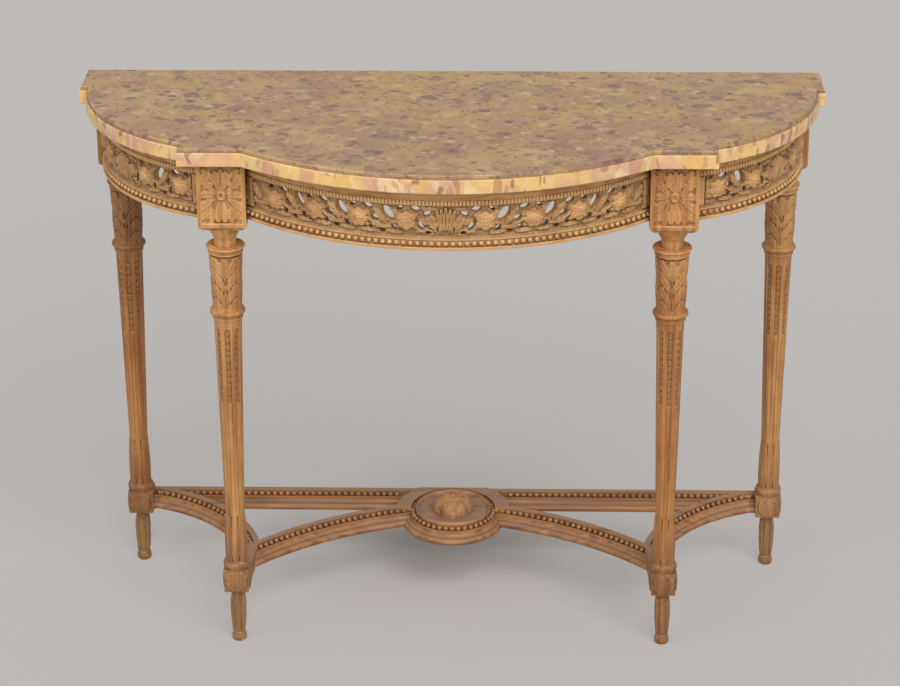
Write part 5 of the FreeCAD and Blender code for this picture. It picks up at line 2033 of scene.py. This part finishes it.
@dataclass
class Stretcher:
    """Moulded bars that meet in a medallion, with pearls along every bar.

    Attributes:
        finish: Material of the bars and pearls.
        flower_finish: Material of the rosette.
        pearls: Tree that grows the pearls.
    """

    finish: Material
    flower_finish: Material
    pearls: PearlTree

    # Plan of the bars, measured in from the leg axes or out from the medallion
    bar_width: float = 31.0
    side_radius: float = 251.0
    side_start: float = 30.0
    side_end: Point = (4.0, 60.0)
    side_trim: float = 6.0
    front_radius: float = 537.0
    front_start: Point = (22.0, 51.0)
    front_end: Point = (60.0, 12.0)
    front_trim: float = 10.0
    back_start: float = 20.0
    back_end: float = 99.0
    medallion_forward: float = 60.0
    medallion_radius: float = 86.0

    # Pearls and rosette
    path_steps: int = 60
    ring_steps: int = 120
    pearl_pitch: float = 11.0
    pearl_radius: float = 4.1
    pearl_inset: float = 17.4
    pearl_drop: float = 5.4
    rosette_radius: float = 35.0
    rosette_petals: int = 7
    rosette_rows: int = 40
    petal_height: float = 10.0
    dome_height: float = 20.0
    dome_share: float = 0.97
    dowel_length: float = 14.0

    def build(self) -> None:
        """Dress the bars and make the pearls and the rosette."""
        bars = [f"{side}_{bar}_stretcher" for side in ("left", "right") for bar in ("side", "front")]
        for bar in ["back_stretcher", "stretcher_medallion"] + bars:
            dress(bar, self.finish)
        self.rows()
        self.rosette()

    def rows(self) -> None:
        """Make the rows of pearls on the bars and round the medallion."""
        level = corners("back_stretcher")[1][2] - self.pearl_drop
        front = middle("front_right_leg")
        back = middle("back_right_leg")
        bar_front = back[1] - self.bar_width / 2
        centre_y = back[1] - self.medallion_forward
        toe = (front[0] - self.side_end[0], front[1] + self.side_end[1])
        heel = (front[0] - self.front_start[0], front[1] + self.front_start[1])
        hub = (self.front_end[0], centre_y - self.front_end[1])
        side = Bow.through((back[0] - self.side_start, bar_front), toe, self.side_radius)
        inner = Bow.through(heel, hub, self.front_radius)
        paths = []
        for bow, trim in ((side, self.side_trim), (inner, self.front_trim)):
            along = np.linspace(-bow.half, bow.half - trim, self.path_steps)
            path = bow.points(along, -self.pearl_inset, level)
            paths += [path, path * MIRROR]
        y = bar_front + self.pearl_inset
        for sign in (-1, 1):
            ends = (sign * (back[0] - self.back_start), sign * self.back_end)
            paths.append(np.array([[x, y, level] for x in ends]))
        row = (self.pearl_pitch, self.pearl_radius, self.finish)
        self.pearls.build("stretcher_pearls", paths, *row)
        reach = self.medallion_radius - self.pearl_inset
        turn = np.linspace(0, math.tau, self.ring_steps, endpoint=False)
        ring = Bow((0.0, centre_y), reach, 0.0, 0.0).points(reach * turn, 0.0, level)
        self.pearls.build("medallion_pearls", [ring], *row, True)

    def rosette(self) -> None:
        """Make the carved flower in the medallion's dish."""
        floor = corners("medallion_rosette")[0][2] + self.dowel_length
        turns = np.linspace(0, math.tau, self.ring_steps, endpoint=False)
        reach, turn = np.meshgrid(np.linspace(0.02, 1.0, self.rosette_rows), turns, indexing="ij")
        x = reach * self.rosette_radius * np.cos(turn)
        y = reach * self.rosette_radius * np.sin(turn)
        flower = Bloom((0, 0), self.rosette_radius, self.rosette_petals, self.petal_height)
        rise = self.dome_height * dome((self.dome_share * reach) ** 2) + flower.heights(x, y).clip(0.0, None)
        shell = Shell()
        crown = shell.add(np.stack([x, y, floor + rise], axis=-1))
        foot = shell.add(np.stack([x[-1:], y[-1:], np.full_like(x[-1:], floor)], axis=-1))
        shell.stem(np.concatenate([crown, foot]))
        place = foot_place("medallion_rosette")
        seat(shell.piece("medallion_flower", self.flower_finish, place), "medallion_rosette")


def dress(node: str, finish: Material) -> None:
    """Give a node of the frame its finish.

    Args:
        node: Name of the node.
        finish: Its material.
    """
    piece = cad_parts[node]
    piece.data.materials.clear()
    piece.data.materials.append(finish)
    LOG.info("%s: dressed in %s", node, finish.name)


@dataclass
class Studio:
    """Plain pale floor, soft light and the camera at the photograph's place.

    Attributes:
        eye: Place of the camera.
        yaw: Turn to the side, in radians.
        pitch: Turn down, in radians.
        roll: Turn about the line of sight, in radians.
        focal_pixels: Focal length in pixels of the photograph.
        image_width: Width of the photograph in pixels.
        sensor: Width of the sensor in millimetres.
        floor_half: Half the width of the floor.
        backdrop: Colour that the floor shows.
        paper: Colour of the floor itself.
        heart: Middle of the floor's shaded patch.
        patch: Distances from it between which the shading is hidden more and more.
        evenness: How much of the floor's shading is hidden, at the first of them and at the second.
        sky: Strength of the light from all round.
        lamps: Name, angle to the right of the table's front, angle above the floor and strength of each lamp.
        softness: Width of the lamps as seen from the table, in degrees.
    """

    eye: Triple = (0.1147, -4.4275, 2.4609)
    yaw: float = -0.025930
    pitch: float = 0.415330
    roll: float = -0.0041737
    focal_pixels: float = 2979.07
    image_width: int = 900
    sensor: float = 36.0
    floor_half: float = 8.0
    backdrop: Colour = paint("bebab7")
    paper: Colour = paint("bcb8b5")
    heart: Triple = (0.0, 0.24, 0.0)
    patch: Point = (0.1, 0.4)
    evenness: Point = (0.0, 0.55)
    sky: float = 0.41
    lamps: tuple[tuple[str, float, float, float], ...] = (
        ("right_lamp", 22.0, 43.0, 2.3),
        ("left_lamp", -50.0, 28.0, 0.8),
    )
    softness: float = 46.0

    def build(self) -> None:
        """Set up the whole studio."""
        bpy.context.scene.view_settings.view_transform = "Standard"
        self.floor()
        self.lights()
        self.camera()

    def floor(self) -> None:
        """Make the floor, wide enough to fill the view."""
        half = self.floor_half
        mesh = bpy.data.meshes.new("floor")
        plan = ((-half, -half), (half, -half), (half, half), (-half, half))
        mesh.from_pydata([(x, y, 0.0) for x, y in plan], [], [(0, 1, 2, 3)])
        mesh.materials.append(self.floor_paper())
        show("floor", mesh)

    def floor_paper(self) -> Material:
        """Build the floor's material, which the camera and mirrors see more evenly lit than it is.

        Returns:
            The material.
        """
        graph = ShaderGraph("floor_paper")
        graph.feed(graph.shader.inputs["Specular IOR Level"], 0.1)
        even = graph.node("ShaderNodeEmission", Color=self.backdrop, Strength=1.0).outputs["Emission"]
        path = graph.node("ShaderNodeLightPath").outputs
        seen = path["Is Camera Ray"]
        for ray in ("Is Glossy Ray", "Is Transmission Ray"):
            seen = graph.reckon("MAXIMUM", seen, path[ray])
        away = graph.node("ShaderNodeVectorMath", {"operation": "DISTANCE"}, graph.coords, self.heart)
        limits = zip(("From_Min", "From_Max", "To_Min", "To_Max"), self.patch + self.evenness)
        share = graph.node("ShaderNodeMapRange", {"clamp": True}, Value=away.outputs["Value"], **dict(limits))
        cover = graph.times(seen, share.outputs["Result"])
        mixed = graph.node("ShaderNodeMixShader", None, cover, graph.shader.outputs["BSDF"], even)
        graph.feed(graph.tree.nodes["Material Output"].inputs["Surface"], mixed.outputs["Shader"])
        return graph.painted(self.paper, 0.9)

    def lights(self) -> None:
        """Light the table softly from all round, with a wide, far lamp on each side of the front."""
        scene = bpy.context.scene
        scene.world = bpy.data.worlds.new("studio")
        scene.world.use_nodes = True
        sky = scene.world.node_tree.nodes["Background"].inputs
        sky["Color"].default_value = (1.0, 1.0, 1.0, 1.0)
        sky["Strength"].default_value = self.sky
        for name, bearing, height, power in self.lamps:
            data = bpy.data.lights.new(name, "SUN")
            data.energy = power
            data.angle = math.radians(self.softness)
            lamp = bpy.data.objects.new(name, data)
            lamp.rotation_euler = (math.radians(90.0 - height), 0.0, math.radians(bearing))
            scene.collection.objects.link(lamp)

    def camera(self) -> None:
        """Add the camera."""
        level = math.cos(self.pitch)
        ahead = Vector((math.sin(self.yaw) * level, math.cos(self.yaw) * level, -math.sin(self.pitch)))
        right = Vector((math.cos(self.yaw), -math.sin(self.yaw), 0.0))
        up = right.cross(ahead)
        tilted_right = math.cos(self.roll) * right + math.sin(self.roll) * up
        tilted_up = math.cos(self.roll) * up - math.sin(self.roll) * right
        data = bpy.data.cameras.new("camera")
        data.sensor_width = self.sensor
        data.lens = self.focal_pixels * self.sensor / self.image_width
        camera = bpy.data.objects.new("camera", data)
        turn = Matrix((tilted_right, tilted_up, -ahead)).transposed().to_4x4()
        camera.matrix_world = Matrix.Translation(self.eye) @ turn
        bpy.context.scene.collection.objects.link(camera)
        bpy.context.scene.camera = camera


def frieze_bows() -> tuple[Bow, Bow]:
    """Work out the friezes' plans from the frame.

    Returns:
        Plans of the front frieze and of the right-hand one.
    """
    front_setback, side_setback, back_inset, side_radius = 14.0, 17.0, 10.0, 292.0
    front_low, front_high = corners("front_right_leg")
    back_low, back_high = corners("back_right_leg")
    apex = corners("front_frieze")[0][1]
    end = (front_low[0], front_low[1] + front_setback)
    rise = end[1] - apex
    radius = (end[0] ** 2 + rise ** 2) / (2 * rise)
    front = Bow.through((-end[0], end[1]), end, radius)
    start = (front_high[0], front_low[1] + side_setback)
    side = Bow.through(start, (back_high[0] - back_inset, back_low[1]), side_radius)
    return front, side


def main() -> None:
    """Build the table piece by piece and set up the studio."""
    logging.basicConfig(level=logging.INFO, format="%(name)s %(message)s")
    finishes = mixed_finishes()
    pearls = PearlTree()
    sprigs = SprigTree()
    plain_nodes = {
        "breccia_marble": ("marble_top",),
        "plain_wood": ("back_rail", "top_bearer"),
        "peg_wood": ("frieze_pegs", "back_rail_pegs", "stretcher_pegs"),
    }
    for name, nodes in plain_nodes.items():
        for node in nodes:
            dress(node, finishes[name])
    front, side = frieze_bows()
    friezes = {
        "front_frieze": (front, (5.6, 5.6), False),
        "right_frieze": (side, (3.0, 2.0), False),
        "left_frieze": (side, (3.0, 2.0), True),
    }
    for node, (bow, overrun, mirror) in friezes.items():
        Frieze(node, bow, overrun, mirror, finishes["frieze_wood"], pearls, sprigs).build()
    legs = {
        "front_left_leg": (Face.FRONT, Face.BACK, "leg_wood"),
        "front_right_leg": (Face.FRONT, Face.BACK, "shade_painted_leg_wood"),
        "back_left_leg": (Face.LEFT, Face.RIGHT, "shaded_leg_wood"),
        "back_right_leg": (Face.RIGHT, Face.LEFT, "leg_wood"),
    }
    for node, (panel, plain, finish) in legs.items():
        Leg(node, panel, plain, finishes[finish], finishes["shade_painted_husk_wood"], sprigs).build()
    Stretcher(finishes["stretcher_wood"], finishes["leg_wood"], pearls).build()
    Studio().build()


if __name__ == "__main__":
    main()
